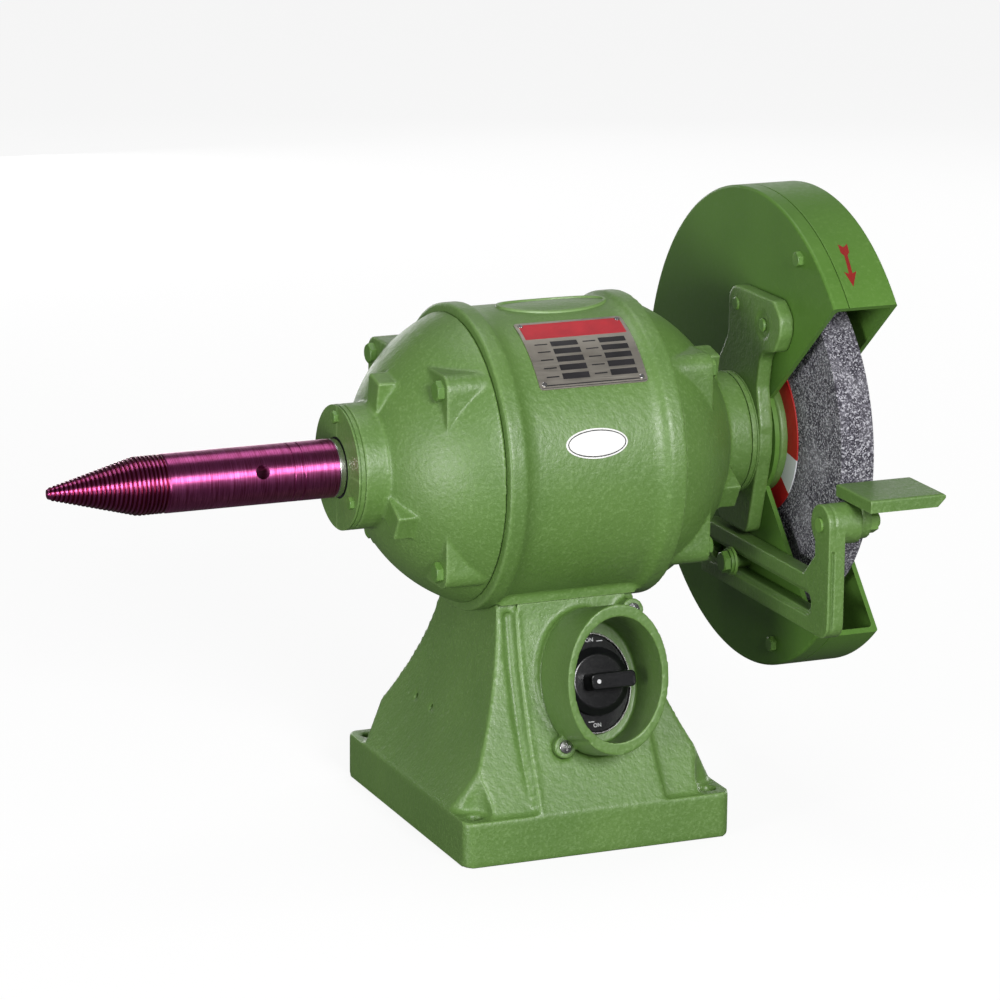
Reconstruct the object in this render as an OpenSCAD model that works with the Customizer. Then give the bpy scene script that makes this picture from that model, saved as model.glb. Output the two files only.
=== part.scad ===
// Bench grinder and polisher: a motor on a hollow cast pedestal.
// X runs along the shaft, with the polishing spindle at -X and the grinding wheel at +X.
// The switch faces the front, -Y. The origin is on the bench, midway between the bench bolts.
// Angles about the shaft are counted up from the front.

/* [Base] */
// Width of the base plate along the shaft
base_w = 202; // [198:1:230]
// Depth of the base plate from front to back
base_d = 232; // [228:1:260]
// Height of the base plate
base_h = 32.5; // [28:0.5:38]
// Radius of the base plate's corners
base_corner_r = 8; // [4:0.5:12]
// Distance of a bench bolt hole from the side of the base plate
bench_side = 12; // [10:0.5:14]
// Distance of a bench bolt hole from the front or back of the base plate
bench_end = 14; // [12:0.5:18]
// Diameter of a bench bolt hole
bench_hole_d = 11; // [9:0.5:13]

/* [Column] */
// Height of the flat top of the column
column_h = 168; // [160:1:172]
// Width of the column at its top
column_top_w = 104; // [96:1:106]
// Depth of the column at its top, over the raised panel
column_top_d = 108; // [102:1:116]
// Side clearance of the column's foot from the edge of the base plate
column_inset = 1; // [0.5:0.5:4]
// Wall of the hollow pedestal
wall = 8; // [6:0.5:10]
// Thickness of the column's roof under the motor
roof = 20; // [16:1:24]
// Rise of the front panel from the column
panel_rise = 4; // [2:0.5:6]
// Width of the front panel at its top
panel_top_w = 84; // [76:1:90]
// Width of the front panel at the base plate
panel_foot_w = 96; // [90:1:110]
// Sideways place of the panel's middle
panel_x = 3; // [0:0.5:5]
// Inward lean of the corner pockets
pocket_lean = 15; // [10:1:20]

/* [Motor] */
// Height of the shaft above the top of the column
shaft_rise = 95.4; // [94.5:0.1:100]
// Radius of the motor barrel
barrel_r = 104.5; // [102:0.5:106]
// Wall of the motor barrel
barrel_wall = 7.5; // [6:0.5:9]
// Length of the barrel between its end rings
barrel_len = 108; // [108:1:116]
// Radius of the end rings
ring_r = 108.5; // [107:0.5:110]
// Width of an end ring
ring_w = 12.5; // [10:0.5:16]
// Depth of the motor's foot from front to back
foot_d = 112; // [104:1:116]
// Radius of the domed end bells
dome_r = 109.8; // [106:0.1:112]
// Distance from the motor's middle to a dome's centre
dome_x = 28.4; // [26:0.1:31]
// Wall of an end bell
bell_wall = 8; // [6:0.5:10]
// Distance from the motor's middle to the face of a hub
hub_x = 147; // [144:0.5:150]
// Radius of a hub
hub_r = 44; // [40:0.5:48]
// Radius of the circle of the end bell bolts
bell_bolt_pcr = 90.5; // [88:0.5:92]
// Distance from the motor's middle to the seats of the end bell bolts
lug_x = 100; // [96:0.5:104]
// Radius of an end bell lug round its bolt
lug_r = 14.5; // [12:0.5:16]
// Diameter of an end bell bolt
bell_bolt_d = 8; // [6:1:10]
// Diameter of a motor mounting bolt
mount_bolt_d = 10; // [8:1:12]
// Distance of a motor mounting bolt from the side of the column's top
mount_side = 17; // [16.5:0.5:20]
// Distance of a motor mounting bolt from the front or back of the column's top
mount_end = 24; // [23:0.5:28]
// Length of the stator core
core_len = 80; // [70:1:86]
// Radius of the stator's bore
stator_bore_r = 56; // [50:0.5:60]
// Air gap between the rotor and the stator
air_gap = 0.7; // [0.5:0.1:1.2]

/* [Bearings] */
// Bore of a bearing
bearing_bore_d = 25; // [20:1:26]
// Outer diameter of a bearing
bearing_d = 52; // [50:1:56]
// Width of a bearing
bearing_w = 15; // [13:0.5:16]
// Diameter of a bearing ball
ball_d = 7.9; // [7:0.1:8.2]
// Number of balls in a bearing
ball_count = 9; // [7:1:10]
// Thickness of a bearing cap
cap_t = 5; // [4:0.5:6]
// Radius of the shaft hole in a bearing cap
cap_hole_r = 21.5; // [21:0.1:23]
// Radius of the circle of the cap screws
cap_screw_pcr = 36; // [34:0.5:38]
// Diameter of a cap screw
cap_screw_d = 5; // [4:0.5:6]

/* [Spindle] */
// Radius of the polishing spindle
spindle_r = 20.5; // [18:0.1:20.8]
// Distance from the motor's middle to the root of the spindle
spindle_root_x = 156.3; // [155.5:0.1:158]
// Length of the spindle before its cone
spindle_plain = 142.7; // [136:0.1:150]
// Length of the thread before the cone
thread_lead = 19; // [14:1:24]
// Length of the spindle's threaded cone
cone_len = 62; // [56:1:70]
// Radius of the spindle's tip
tip_r = 4.6; // [3.5:0.1:6]
// Pitch of the spindle's thread
thread_pitch = 3; // [2.4:0.1:5]
// Depth of the spindle's thread
thread_depth = 0.9; // [0.5:0.1:1.4]
// Diameter of the tommy bar hole
tommy_d = 10; // [8:0.5:12]
// Distance from the motor's middle to the tommy bar hole
tommy_x = 213; // [211:0.5:220]
// Angle of the tommy bar hole above the front
tommy_angle = 19; // [0:1:40]

/* [Wheel] */
// Diameter of the grinding wheel
wheel_d = 254; // [250:1:256]
// Thickness of the grinding wheel
wheel_t = 25.4; // [20:0.1:26]
// Distance from the motor's middle to the wheel
wheel_x = 175; // [174.5:0.1:176]
// Diameter of the shaft's wheel seat
wheel_seat_d = 25.4; // [20:0.1:26]
// Radius of the wheel flanges
flange_r = 45; // [40:0.5:46]
// Thickness of the wheel flanges
flange_t = 6; // [5:0.5:6.5]
// Radius of the paper blotters
blotter_r = 60; // [50:1:64]
// Thickness of a blotter
blotter_t = 1; // [0.5:0.1:1.2]
// Width across the flats of the wheel nut
nut_af = 36; // [32:1:40]
// Thickness of the wheel nut
nut_t = 12; // [8:0.5:12.5]

/* [Guard] */
// Radius of the wheel guard
guard_r = 173.3; // [170:0.1:176]
// Rise of the guard's centre above the shaft
guard_dz = 3; // [0:0.5:5]
// Width of the wheel guard
guard_w = 49.5; // [48:0.5:54]
// Wall of the guard's rim
rim_wall = 4; // [3:0.5:6]
// Thickness of the guard's side plates
side_t = 3.5; // [2.5:0.1:4]
// Width of the rim on the inner shell
shell_w = 12; // [8:0.5:16]
// Upper edge of the guard's mouth, above the front
mouth_top = 40.9; // [35:0.1:50]
// Lower edge of the guard's mouth, below the front
mouth_bottom = 46.6; // [45:0.1:50]
// Radius of the guard's hole round the cap screws
guard_hole_r = 41.5; // [41:0.5:42.5]
// Radius of the guard's lip round that hole, inside the mouth
guard_lip_r = 47; // [46:0.5:50]
// Radius of the cap over the wheel nut
nut_cap_r = 36; // [32:0.5:40]
// Height of the cap over the wheel nut
nut_cap_h = 15.5; // [12:0.5:18]
// Distance of the guard screws from the outside of the guard
guard_screw_inset = 15.3; // [13:0.1:18]
// Diameter of a guard screw
guard_screw_d = 6; // [4:0.5:7]
// Thickness of the guard bracket
bracket_t = 11; // [9:0.5:13]
// Diameter of a guard bracket bolt
bracket_bolt_d = 10; // [8:1:12]

/* [Tool rest] */
// Thickness of the sliding rest bracket
slide_t = 12.7; // [10:0.1:14]
// Drop of the bracket's slot below the shaft
slot_drop = 94.5; // [93:0.5:98]
// Height of the slotted bar
bar_h = 40; // [36:1:42]
// Width of the slot
slot_w = 12; // [11.5:0.5:14]
// Distance of the bar's rear end behind the shaft
bar_back = 44; // [43:1:52]
// Distance of the slot's rear end behind the shaft
slot_back = 34; // [33:0.5:36]
// Distance of the arm's middle in front of the shaft
arm_y = 149; // [147:1:154]
// Width of the upright arm
arm_w = 22; // [18:1:26]
// Diameter of the clamp bolt
clamp_bolt_d = 10; // [8:1:11]
// Distance of the clamp bolt in front of the shaft
clamp_y = 8; // [6:0.5:12]
// Distance of the tilt pivot in front of the shaft
pivot_y = 145.5; // [144:0.5:148]
// Drop of the tilt pivot below the shaft
pivot_drop = 34; // [32:0.5:36]
// Diameter of the pivot bolt
pivot_d = 10; // [8:0.5:12]
// Width of the rest plate along the shaft
rest_w = 58; // [50:1:64]
// Depth of the rest plate from front to back
rest_d = 53; // [45:1:60]
// Thickness of the rest plate
rest_t = 9; // [7:0.5:10]
// Drop of the rest plate's top below the shaft
rest_drop = 9.5; // [8:0.5:10]
// Distance of the rest plate's rear edge in front of the shaft
rest_y = 131; // [130.5:0.5:134]

/* [Switch] */
// Tilt of the switch above the front
switch_tilt = 17; // [12:1:20]
// Sideways place of the switch
switch_x = 8.5; // [6:0.5:10]
// Distance of the switch seat in front of the front panel
switch_out = 5.7; // [4:0.1:7]
// Depth of the switch seat below the top of the column
switch_drop = 55.2; // [54:0.1:58]
// Half width of the switch surround
surround_rx = 38; // [36:0.5:40]
// Half height of the switch surround
surround_ry = 52; // [50:0.5:54]
// Half width of the surround's opening
mouth_rx = 33; // [31:0.5:34]
// Half height of the surround's opening
mouth_ry = 43.6; // [41:0.1:46]
// Length of the switch surround along its axis
surround_len = 50; // [40:1:56]
// Tilt of the surround's rim above the front
rim_tilt = 5; // [0:1:12]
// Half width of the switch plate
plate_rx = 28; // [26:0.5:29]
// Half height of the switch plate
plate_ry = 35; // [32:0.5:38]
// Radius of the knob's round base
knob_r = 24; // [20:0.5:25]
// Length of the knob's handle
handle_len = 44; // [36:1:46]
// Width of the knob's handle
handle_w = 11.5; // [9:0.5:14]
// Height of the knob
knob_h = 21; // [16:0.5:26]
// Diameter of the switch shaft
switch_shaft_d = 8; // [6:0.5:10]
// Width of the switch body
switch_body_w = 44; // [38:1:48]
// Depth of the switch body behind its seat
switch_body_len = 42; // [36:1:46]

/* [Plates] */
// Width of the name plate along the shaft
name_w = 81; // [70:1:90]
// Lower edge of the name plate, above the front
name_low = 37; // [30:1:40]
// Upper edge of the name plate, above the front
name_high = 71; // [65:1:74]
// Sideways place of the name plate's middle
name_x = 5.5; // [0:0.5:9]
// Thickness of the name plate
name_t = 0.8; // [0.6:0.1:1.5]
// Width of the oval badge
badge_w = 46; // [36:1:54]
// Height of the oval badge
badge_h = 21; // [16:1:26]
// Angle of the badge above the front
badge_angle = 15; // [8:1:20]
// Half length of the raised oval on top
crest_rx = 41.5; // [36:0.5:44]
// Half width of the raised oval on top
crest_ry = 22; // [16:0.5:26]

/* [Wiring] */
// Height of the cable gland at the back
gland_z = 62; // [58:1:68]
// Bore of the cable gland
gland_bore_d = 9; // [7:0.5:12]

/* [Fits] */
// Gap between a fixed bolt or seat and its hole
seat_gap = 0.05; // [0.02:0.01:0.1]
// Gap between pieces that move past each other
run_gap = 0.3; // [0.2:0.05:0.5]
// Gap between a turning shaft and its bore
bore_gap = 0.05; // [0.02:0.01:0.1]

/* [Hidden] */
$fn = 96;
eps = 0.01;
curve_steps = 12;
oval_steps = 48;
bench_bolt_x = base_w - 2 * bench_side;
bench_bolt_y = base_d - 2 * bench_end;
shaft_h = column_h + shaft_rise;
mount_bolt_x = column_top_w - 2 * mount_side;
mount_bolt_y = column_top_d - 2 * mount_end;
mount_head_r = 8.5;
mount_head_t = 6;
switch_z = column_h - switch_drop;
switch_y = half_d(switch_z) + switch_out;
motor_half = barrel_len / 2 + ring_w;
bore_r = barrel_r - barrel_wall;
cap_x = hub_x + cap_t;
saddle_gap = 0.5;
lug_angles = [45, 135, 225, 315];
cap_screw_angles = [90, 210, 330];
hub_rib_angles = [78, 198, 330];
hub_rib_w = 20;
hub_rib_r = 66;
hub_rib_x = 116;
hub_rib_t = 14;
lug_depth = 20;
lug_pad_r = 11;
lug_foot_half = 25;
bell_bolt_af = 13;
bolt_head_t = 5;
cap_screw_af = 8;
cap_screw_head_t = 3.5;
m10_af = 16;
winding_in_r = 62;
winding_out_r = 77;
winding_x = 62;
rotor_r = stator_bore_r - air_gap;
end_ring_t = 10;
shaft_mid_r = 16;
bearing_x = hub_x - 1 - bearing_w / 2;
race_r = (bearing_bore_d + bearing_d) / 4;
race_gap = 0.05;
race_land = 2.6;
shoulder_r = 20;
sleeve_r = 16;
sleeve_head_r = spindle_r - 0.2;
shaft_left_x = tommy_x - tommy_d / 2 - 3;
spindle_bore_r = 10;
cone_x = spindle_root_x + spindle_plain;
tip_x = cone_x + cone_len;
thread_x = cone_x - thread_lead;
thread_count = floor((thread_lead + cone_len - 1) / thread_pitch);
groove_xs = [182.7, 190];
groove_w = 1.2;
groove_depth = 0.5;
guard_x = cap_x + bracket_t;
plate_in_x = guard_x + side_t;
guard_end_x = guard_x + guard_w;
seam_x = guard_x + shell_w;
guard_screw_angles = [60, 178, -71];
guard_screw_pcr = guard_r - guard_screw_inset;
guard_screw_af = 10;
guard_screw_head_t = 4;
guard_screw_len = 26;
guard_post_r = 6.5;
guard_hub_disc_r = 52;
nut_cap_wall = 3.5;
nut_end_x = wheel_x + wheel_t + 2 * blotter_t + flange_t + nut_t;
shaft_right_x = nut_end_x - blotter_t + 2.5;
inner_flange_x = wheel_x - blotter_t - flange_t;
outer_flange_x = wheel_x + wheel_t + blotter_t;
bracket_bolt_places = [[-1.5, 94], [-44.5, 87]];
bracket_nut_t = 5.5;
bracket_points = [
    [12, 107], [-60, 107], [-72, 97], [-72, 84], [-64, 71], [-42, 66], [-37, 40], [-44, 12],
    [-40, -20], [-33, -45], [-26, -70], [20, -70], [30, -45], [46, 0], [40, 30], [12, 70]];
slide_x = guard_x - run_gap - slide_t;
slot_front = arm_y - arm_w / 2 - 8;
pivot_boss_r = 14.5;
pivot_boss_len = 26;
pivot_boss_x = slide_x + pivot_boss_len;
eye_x = pivot_boss_x + run_gap;
eye_t = 7.7;
eye_r = 12;
pivot_nut_t = 7;
stud_proud = 1.5;
eye_inset = 7.3;
rest_x = eye_x - eye_inset;
clamp_head_t = 7;
clamp_nut_t = 6.5;
gusset_d = 17;
gusset_h = 18;
arm_foot = 6;
washer_r = 10.5;
washer_t = 2;
back_wall = 4;
switch_plate_t = 4.5;
bezel_w = 1.6;
knob_base_t = 7;
ear_r = 8;
ear_web_half = 5.5;
ear_t = 7;
ear_screw_d = 5;
ear_places = [[-27, -43], [35, 47]];
seat_depth = 22;
terminal_t = 10;
terminal_w = 40;
terminal_h = 26;
gland_hex_af = 22;
gland_boss_r = 16;
gland_boss_out = 7.4;
gland_boss_y = half_d(gland_z) - panel_rise + gland_boss_out;
gland_thread_d = 16;
gland_hex_t = 9;
gland_cap_t = 9;
gland_thread_len = 20;
earth_x = 40;
earth_z = 60;
earth_d = 6;
earth_nut_y = 5;
side_hole_d = 4;
side_hole_places = [[43, 77], [14, 77]];
rivet_r = 2;
rivet_t = 0.7;
badge_t = 1.2;
crest_t = 1.5;
crest_w = 3;
crest_x = name_x + 3;
switch_neck_d = 22;
name_margin = 4;

enamel = "#5b7f42";
steel = "silver";
purple = "#8a2c6a";

// Shared shapes

module along_x(x0, x1, r) {
    translate([x0, 0, 0]) rotate([0, 90, 0]) cylinder(h = x1 - x0, r = r);
}

module tube_x(x0, x1, r_in, r_out) {
    difference() {
        along_x(x0, x1, r_out);
        along_x(x0 - 1, x1 + 1, r_in);
    }
}

module at_shaft() {
    translate([0, 0, shaft_h]) children();
}

// Turns what stands at the front of the shaft up to the given angle
module at_angle(angle) {
    rotate([-angle, 0, 0]) children();
}

// Places a bolt or hole that runs along X at a radius and an angle
module on_circle(radius, angle) {
    at_angle(angle) translate([0, -radius, 0]) children();
}

// Mirrors the left side's piece to the right where side is 1
module on_side(side) {
    if (side > 0) mirror([1, 0, 0]) children();
    else children();
}

module oval(rx, ry) {
    polygon([for (i = [0 : oval_steps - 1]) [rx * cos(360 * i / oval_steps), ry * sin(360 * i / oval_steps)]]);
}

module round_rect(w, d, r) {
    square([w - 2 * r, d], center = true);
    square([w, d - 2 * r], center = true);
    for (sx = [-1, 1])
        for (sy = [-1, 1])
            translate([sx * (w / 2 - r), sy * (d / 2 - r)]) circle(r = r);
}

// A hexagon head or nut that runs along X
module hex_x(x0, x1, af) {
    translate([x0, 0, 0]) rotate([0, 90, 0]) cylinder(h = x1 - x0, r = af / sqrt(3), $fn = 6);
}

// Column and base

function column_t(z) = (z - base_h) / (column_h - base_h);
function half_w(z) = column_top_w / 2
    + (base_w / 2 - column_inset - column_top_w / 2) * pow(max(0, 1 - column_t(z)), 1.8);
function half_d(z) = column_top_d / 2
    + (base_d / 2 - 0.5 - column_top_d / 2) * pow(max(0, 1 - column_t(z)), 1.4);
function rise(i) = base_h + (column_h - base_h) * i / curve_steps;

// Front outline of the column, drawn in from its surface by inset
module front_outline(inset, low, high) {
    side = [for (i = [0 : curve_steps]) [half_w(rise(i)) - inset, min(rise(i), high)]];
    polygon(concat(
        [[-side[0][0], low], [side[0][0], low]],
        side,
        [for (i = [curve_steps : -1 : 0]) [-side[i][0], side[i][1]]]));
}

// Side outline of the column, drawn in by inset at the front and by back_inset at the back
module side_outline(inset, back_inset, low, high) {
    polygon(concat(
        [[half_d(base_h) - back_inset, low], [half_d(base_h) - inset, low] - [2 * half_d(base_h) - 2 * inset, 0]],
        [for (i = [0 : curve_steps]) [-half_d(rise(i)) + inset, min(rise(i), high)]],
        [for (i = [curve_steps : -1 : 0]) [half_d(rise(i)) - back_inset, min(rise(i), high)]]));
}

module column_solid(inset, low, high) {
    intersection() {
        translate([0, base_d, 0]) rotate([90, 0, 0]) linear_extrude(2 * base_d) front_outline(inset, low, high);
        translate([-base_w, 0, 0]) rotate([90, 0, 90]) linear_extrude(2 * base_w)
            side_outline(panel_rise + inset, panel_rise + inset, low, high);
    }
}

// The front panel stands proud of the column and meets the front of the base plate
module front_panel() {
    intersection() {
        translate([-base_w, 0, 0]) rotate([90, 0, 90]) linear_extrude(2 * base_w)
            side_outline(0, column_top_d, base_h - 1, column_h);
        translate([panel_x, 0, 0]) rotate([90, 0, 0]) linear_extrude(base_d)
            polygon([
                [-panel_foot_w / 2, base_h - 1], [panel_foot_w / 2, base_h - 1],
                [panel_top_w / 2, column_h], [-panel_top_w / 2, column_h]]);
    }
}

// Everything outside the leaning plane that cuts the four corners, moved in by inset
module corner_cuts(inset, low) {
    reach = base_w;
    normal = 35;
    distance = bench_bolt_x / 2 * cos(normal) + bench_bolt_y / 2 * sin(normal) - 2.7;
    for (sx = [0, 1])
        for (sy = [0, 1])
            mirror([sx, 0, 0]) mirror([0, sy, 0])
                intersection() {
                    rotate([0, 0, normal]) translate([distance - inset, 0, base_h])
                        rotate([0, -pocket_lean, 0]) translate([0, -reach, -reach])
                            cube([reach, 2 * reach, 2 * reach]);
                    translate([0, 0, low]) cube([reach, reach, reach]);
                }
}

// Places what is drawn about the switch's own axis, with its seat at zero
module at_switch() {
    translate([switch_x, -switch_y, switch_z]) rotate([90 - switch_tilt, 0, 0]) children();
}

module ear_outline(gap) {
    for (p = ear_places)
        translate(p) circle(r = ear_r + gap);
    for (p = ear_places)
        rotate([0, 0, atan2(p[1], p[0])]) translate([0, -ear_web_half - gap])
            square([norm(p), 2 * (ear_web_half + gap)]);
}

module pedestal() {
    color(enamel) difference() {
        union() {
            linear_extrude(base_h) round_rect(base_w, base_d, base_corner_r);
            difference() {
                union() {
                    column_solid(0, base_h - 1, column_h);
                    front_panel();
                }
                corner_cuts(0, base_h);
            }
            difference() {
                at_switch() translate([0, 0, -seat_depth]) linear_extrude(seat_depth) {
                    oval(surround_rx, surround_ry);
                    ear_outline(0);
                }
                translate([-base_w, -wall, 0]) cube([2 * base_w, base_d, 2 * column_h]);
            }
            translate([0, gland_boss_y, gland_z]) rotate([90, 0, 0]) cylinder(h = 26, r = gland_boss_r);
        }
        difference() {
            column_solid(wall, -1, column_h - roof);
            corner_cuts(wall + 4, -1);
        }
        at_shaft() along_x(-base_w, base_w, barrel_r + saddle_gap);
        at_switch() linear_extrude(2 * surround_len) {
            oval(surround_rx + saddle_gap, surround_ry + saddle_gap);
            ear_outline(saddle_gap);
        }
        at_switch() translate([0, 0, -switch_body_len / 2])
            cube([switch_body_w + 2, switch_body_w + 2, 2 * switch_body_len], center = true);
        at_switch() for (p = ear_places)
            translate([p[0], p[1], -14]) cylinder(h = 20, d = ear_screw_d + 2 * seat_gap);
        for (sx = [-1, 1])
            for (sy = [-1, 1]) {
                translate([sx * bench_bolt_x / 2, sy * bench_bolt_y / 2, -1])
                    cylinder(h = base_h + 2, d = bench_hole_d);
                translate([sx * mount_bolt_x / 2, sy * mount_bolt_y / 2, column_h - roof - 1])
                    cylinder(h = 2 * roof, d = mount_bolt_d + 2 * seat_gap);
            }
        translate([0, base_d, gland_z]) rotate([90, 0, 0])
            cylinder(h = base_d - gland_boss_y + 2 * gland_boss_r, d = gland_thread_d + 2 * seat_gap);
        translate([earth_x, -wall, earth_z]) rotate([-90, 0, 0]) cylinder(h = base_d / 2, d = earth_d + 2 * seat_gap);
        for (p = side_hole_places)
            translate([-base_w, p[0], p[1]]) rotate([0, 90, 0]) cylinder(h = base_w, d = side_hole_d);
    }
}

module motor_mount_bolts() {
    color(steel) for (sx = [-1, 1])
        for (sy = [-1, 1])
            translate([sx * mount_bolt_x / 2, sy * mount_bolt_y / 2, column_h - roof]) {
                translate([0, 0, -mount_head_t]) cylinder(h = mount_head_t, r = mount_head_r, $fn = 6);
                cylinder(h = roof + 1, d = mount_bolt_d);
            }
}

module cable_gland() {
    color("#222222") translate([0, gland_boss_y, gland_z]) rotate([90, 0, 0]) difference() {
        union() {
            translate([0, 0, -gland_hex_t]) cylinder(h = gland_hex_t, r = gland_hex_af / sqrt(3), $fn = 6);
            translate([0, 0, -gland_hex_t - gland_cap_t]) cylinder(h = gland_cap_t, r = gland_hex_af / 2 - 1);
            cylinder(h = gland_thread_len, d = gland_thread_d);
        }
        translate([0, 0, -gland_hex_t - gland_cap_t - 1])
            cylinder(h = gland_hex_t + gland_cap_t + gland_thread_len + 2, d = gland_bore_d);
    }
}

module earth_stud() {
    inner = half_d(earth_z) - panel_rise - wall;
    color("#b08d3c") translate([earth_x, inner, earth_z]) rotate([90, 0, 0]) {
        translate([0, 0, -5]) cylinder(h = 17, d = earth_d);
        translate([0, 0, earth_nut_y]) cylinder(h = 5, r = 5.8, $fn = 6);
    }
}

// Switch

module switch_housing() {
    color(enamel) at_switch() difference() {
        union() {
            difference() {
                linear_extrude(2 * surround_len) oval(surround_rx, surround_ry);
                translate([0, 0, surround_len]) rotate([switch_tilt - rim_tilt, 0, 0])
                    translate([-base_w / 2, -base_w / 2, 0]) cube(base_w);
            }
            linear_extrude(ear_t) ear_outline(0);
        }
        translate([0, 0, back_wall]) linear_extrude(2 * surround_len) oval(mouth_rx, mouth_ry);
        translate([0, 0, -1]) cylinder(h = surround_len, d = switch_neck_d);
        for (p = ear_places)
            translate([p[0], p[1], -1]) cylinder(h = ear_t + 2, d = ear_screw_d + 2 * seat_gap);
        for (p = ear_places)
            translate([p[0], p[1], ear_t]) cylinder(h = surround_len, r = ear_screw_d + seat_gap);
    }
}

module switch_housing_screws() {
    color(steel) at_switch() for (p = ear_places)
        translate([p[0], p[1], 0]) difference() {
            union() {
                translate([0, 0, -13]) cylinder(h = 13 + ear_t, d = ear_screw_d);
                translate([0, 0, ear_t]) cylinder(h = 3, r = ear_screw_d - 0.2);
            }
            translate([0, 0, ear_t + 2.6]) cube([6, 1.2, 2], center = true);
            translate([0, 0, ear_t + 2.6]) cube([1.2, 6, 2], center = true);
        }
}

module switch_plate() {
    color("#161616") at_switch() translate([0, 0, back_wall]) difference() {
        linear_extrude(switch_plate_t) oval(plate_rx, plate_ry);
        translate([0, 0, -1]) cylinder(h = switch_plate_t + 2, d = switch_shaft_d + 2);
    }
}

module switch_bezel() {
    color(steel) at_switch() translate([0, 0, back_wall]) linear_extrude(switch_plate_t + 0.6) difference() {
        oval(plate_rx + bezel_w, plate_ry + bezel_w);
        oval(plate_rx, plate_ry);
    }
}

module switch_body() {
    color("#d8d4c8") at_switch() difference() {
        union() {
            translate([-switch_body_w / 2, -switch_body_w / 2, -switch_body_len])
                cube([switch_body_w, switch_body_w, switch_body_len]);
            cylinder(h = back_wall, d = switch_neck_d - 2 * seat_gap);
        }
        translate([0, 0, -switch_body_len + 8]) cylinder(h = switch_body_len, r = switch_shaft_d / 2 + bore_gap);
    }
}

module terminal_block() {
    color("#2d6b3c") at_switch() translate([-terminal_w / 2, -terminal_h / 2, -switch_body_len - terminal_t])
        difference() {
            cube([terminal_w, terminal_h, terminal_t]);
            for (i = [0 : 3])
                translate([terminal_w * (i + 0.5) / 4, terminal_h / 2, -1]) cylinder(h = 6, r = 2.2);
        }
}

module switch_knob() {
    base_z = back_wall + switch_plate_t + run_gap;
    color("#101010") at_switch() translate([0, 0, base_z]) difference() {
        union() {
            cylinder(h = knob_base_t, r = knob_r);
            linear_extrude(knob_h) round_rect(handle_len, handle_w, handle_w / 2 - 0.5);
        }
        translate([0, 0, -1]) cylinder(h = knob_base_t + 4, r = switch_shaft_d / 2);
    }
}

module switch_shaft() {
    low = -switch_body_len + 8 + run_gap;
    high = back_wall + switch_plate_t + run_gap + knob_base_t + 3;
    color(steel) at_switch() translate([0, 0, low]) cylinder(h = high - low, d = switch_shaft_d);
}

// Motor

module motor_barrel() {
    color(enamel) difference() {
        union() {
            at_shaft() along_x(-barrel_len / 2 - ring_w, barrel_len / 2 + ring_w, barrel_r);
            for (side = [-1, 1])
                at_shaft() along_x(side * (barrel_len / 2 + ring_w / 2) - ring_w / 2,
                    side * (barrel_len / 2 + ring_w / 2) + ring_w / 2, ring_r);
            translate([-column_top_w / 2, -foot_d / 2, column_h]) cube([column_top_w, foot_d, 30]);
            crest_rim();
        }
        difference() {
            at_shaft() along_x(-motor_half - 1, motor_half + 1, bore_r);
            for (side = [-1, 1])
                for (angle = lug_angles)
                    at_shaft() on_circle(bell_bolt_pcr, angle)
                        along_x(side * (motor_half - lug_depth / 2) - lug_depth / 2,
                            side * (motor_half - lug_depth / 2) + lug_depth / 2, lug_pad_r);
        }
        for (side = [-1, 1])
            for (angle = lug_angles)
                at_shaft() on_circle(bell_bolt_pcr, angle)
                    along_x(side * motor_half - lug_depth - 1, side * motor_half + lug_depth + 1,
                        bell_bolt_d / 2 + seat_gap);
        for (sx = [-1, 1])
            for (sy = [-1, 1])
                translate([sx * mount_bolt_x / 2, sy * mount_bolt_y / 2, column_h - roof])
                    cylinder(h = roof + 1.5, d = mount_bolt_d + 2 * seat_gap);
    }
}

module crest_rim() {
    at_shaft() intersection() {
        translate([crest_x, 0, 0]) linear_extrude(2 * barrel_r) difference() {
            oval(crest_rx, crest_ry);
            oval(crest_rx - crest_w, crest_ry - crest_w);
        }
        along_x(-motor_half, motor_half, barrel_r + crest_t);
    }
}

module stator_core() {
    color("#8c8c90") at_shaft() tube_x(-core_len / 2, core_len / 2, stator_bore_r, bore_r - seat_gap);
}

module stator_windings() {
    color("#a4551e") at_shaft() {
        tube_x(-winding_x, -core_len / 2, winding_in_r, winding_out_r);
        tube_x(core_len / 2, winding_x, winding_in_r, winding_out_r);
    }
}

// A piece of the barrel's skin between two angles, thick outwards
module barrel_patch(x0, x1, low, high, thick) {
    reach = 2 * barrel_r;
    at_shaft() intersection() {
        tube_x(x0, x1, barrel_r, barrel_r + thick);
        rotate([90, 0, 90]) translate([0, 0, x0 - 1]) linear_extrude(x1 - x0 + 2)
            polygon([[0, 0], [-reach * cos(low), reach * sin(low)], [-reach * cos(high), reach * sin(high)]]);
    }
}

module name_plate() {
    color(steel) barrel_patch(name_x - name_w / 2, name_x + name_w / 2, name_low, name_high, name_t);
}

module name_plate_rivets() {
    margin_angle = name_margin / barrel_r * 180 / PI;
    color("#d0d0d0") at_shaft()
        for (x = [name_x - name_w / 2 + name_margin, name_x + name_w / 2 - name_margin])
            for (angle = [name_low + margin_angle, name_high - margin_angle])
                at_angle(angle) translate([x, -barrel_r - name_t, 0]) rotate([90, 0, 0])
                    cylinder(h = rivet_t, r = rivet_r);
}

module oval_badge() {
    color("white") at_shaft() intersection() {
        tube_x(-badge_w, badge_w, barrel_r, barrel_r + badge_t);
        at_angle(badge_angle) rotate([90, 0, 0]) linear_extrude(2 * barrel_r) oval(badge_w / 2, badge_h / 2);
    }
}

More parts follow.
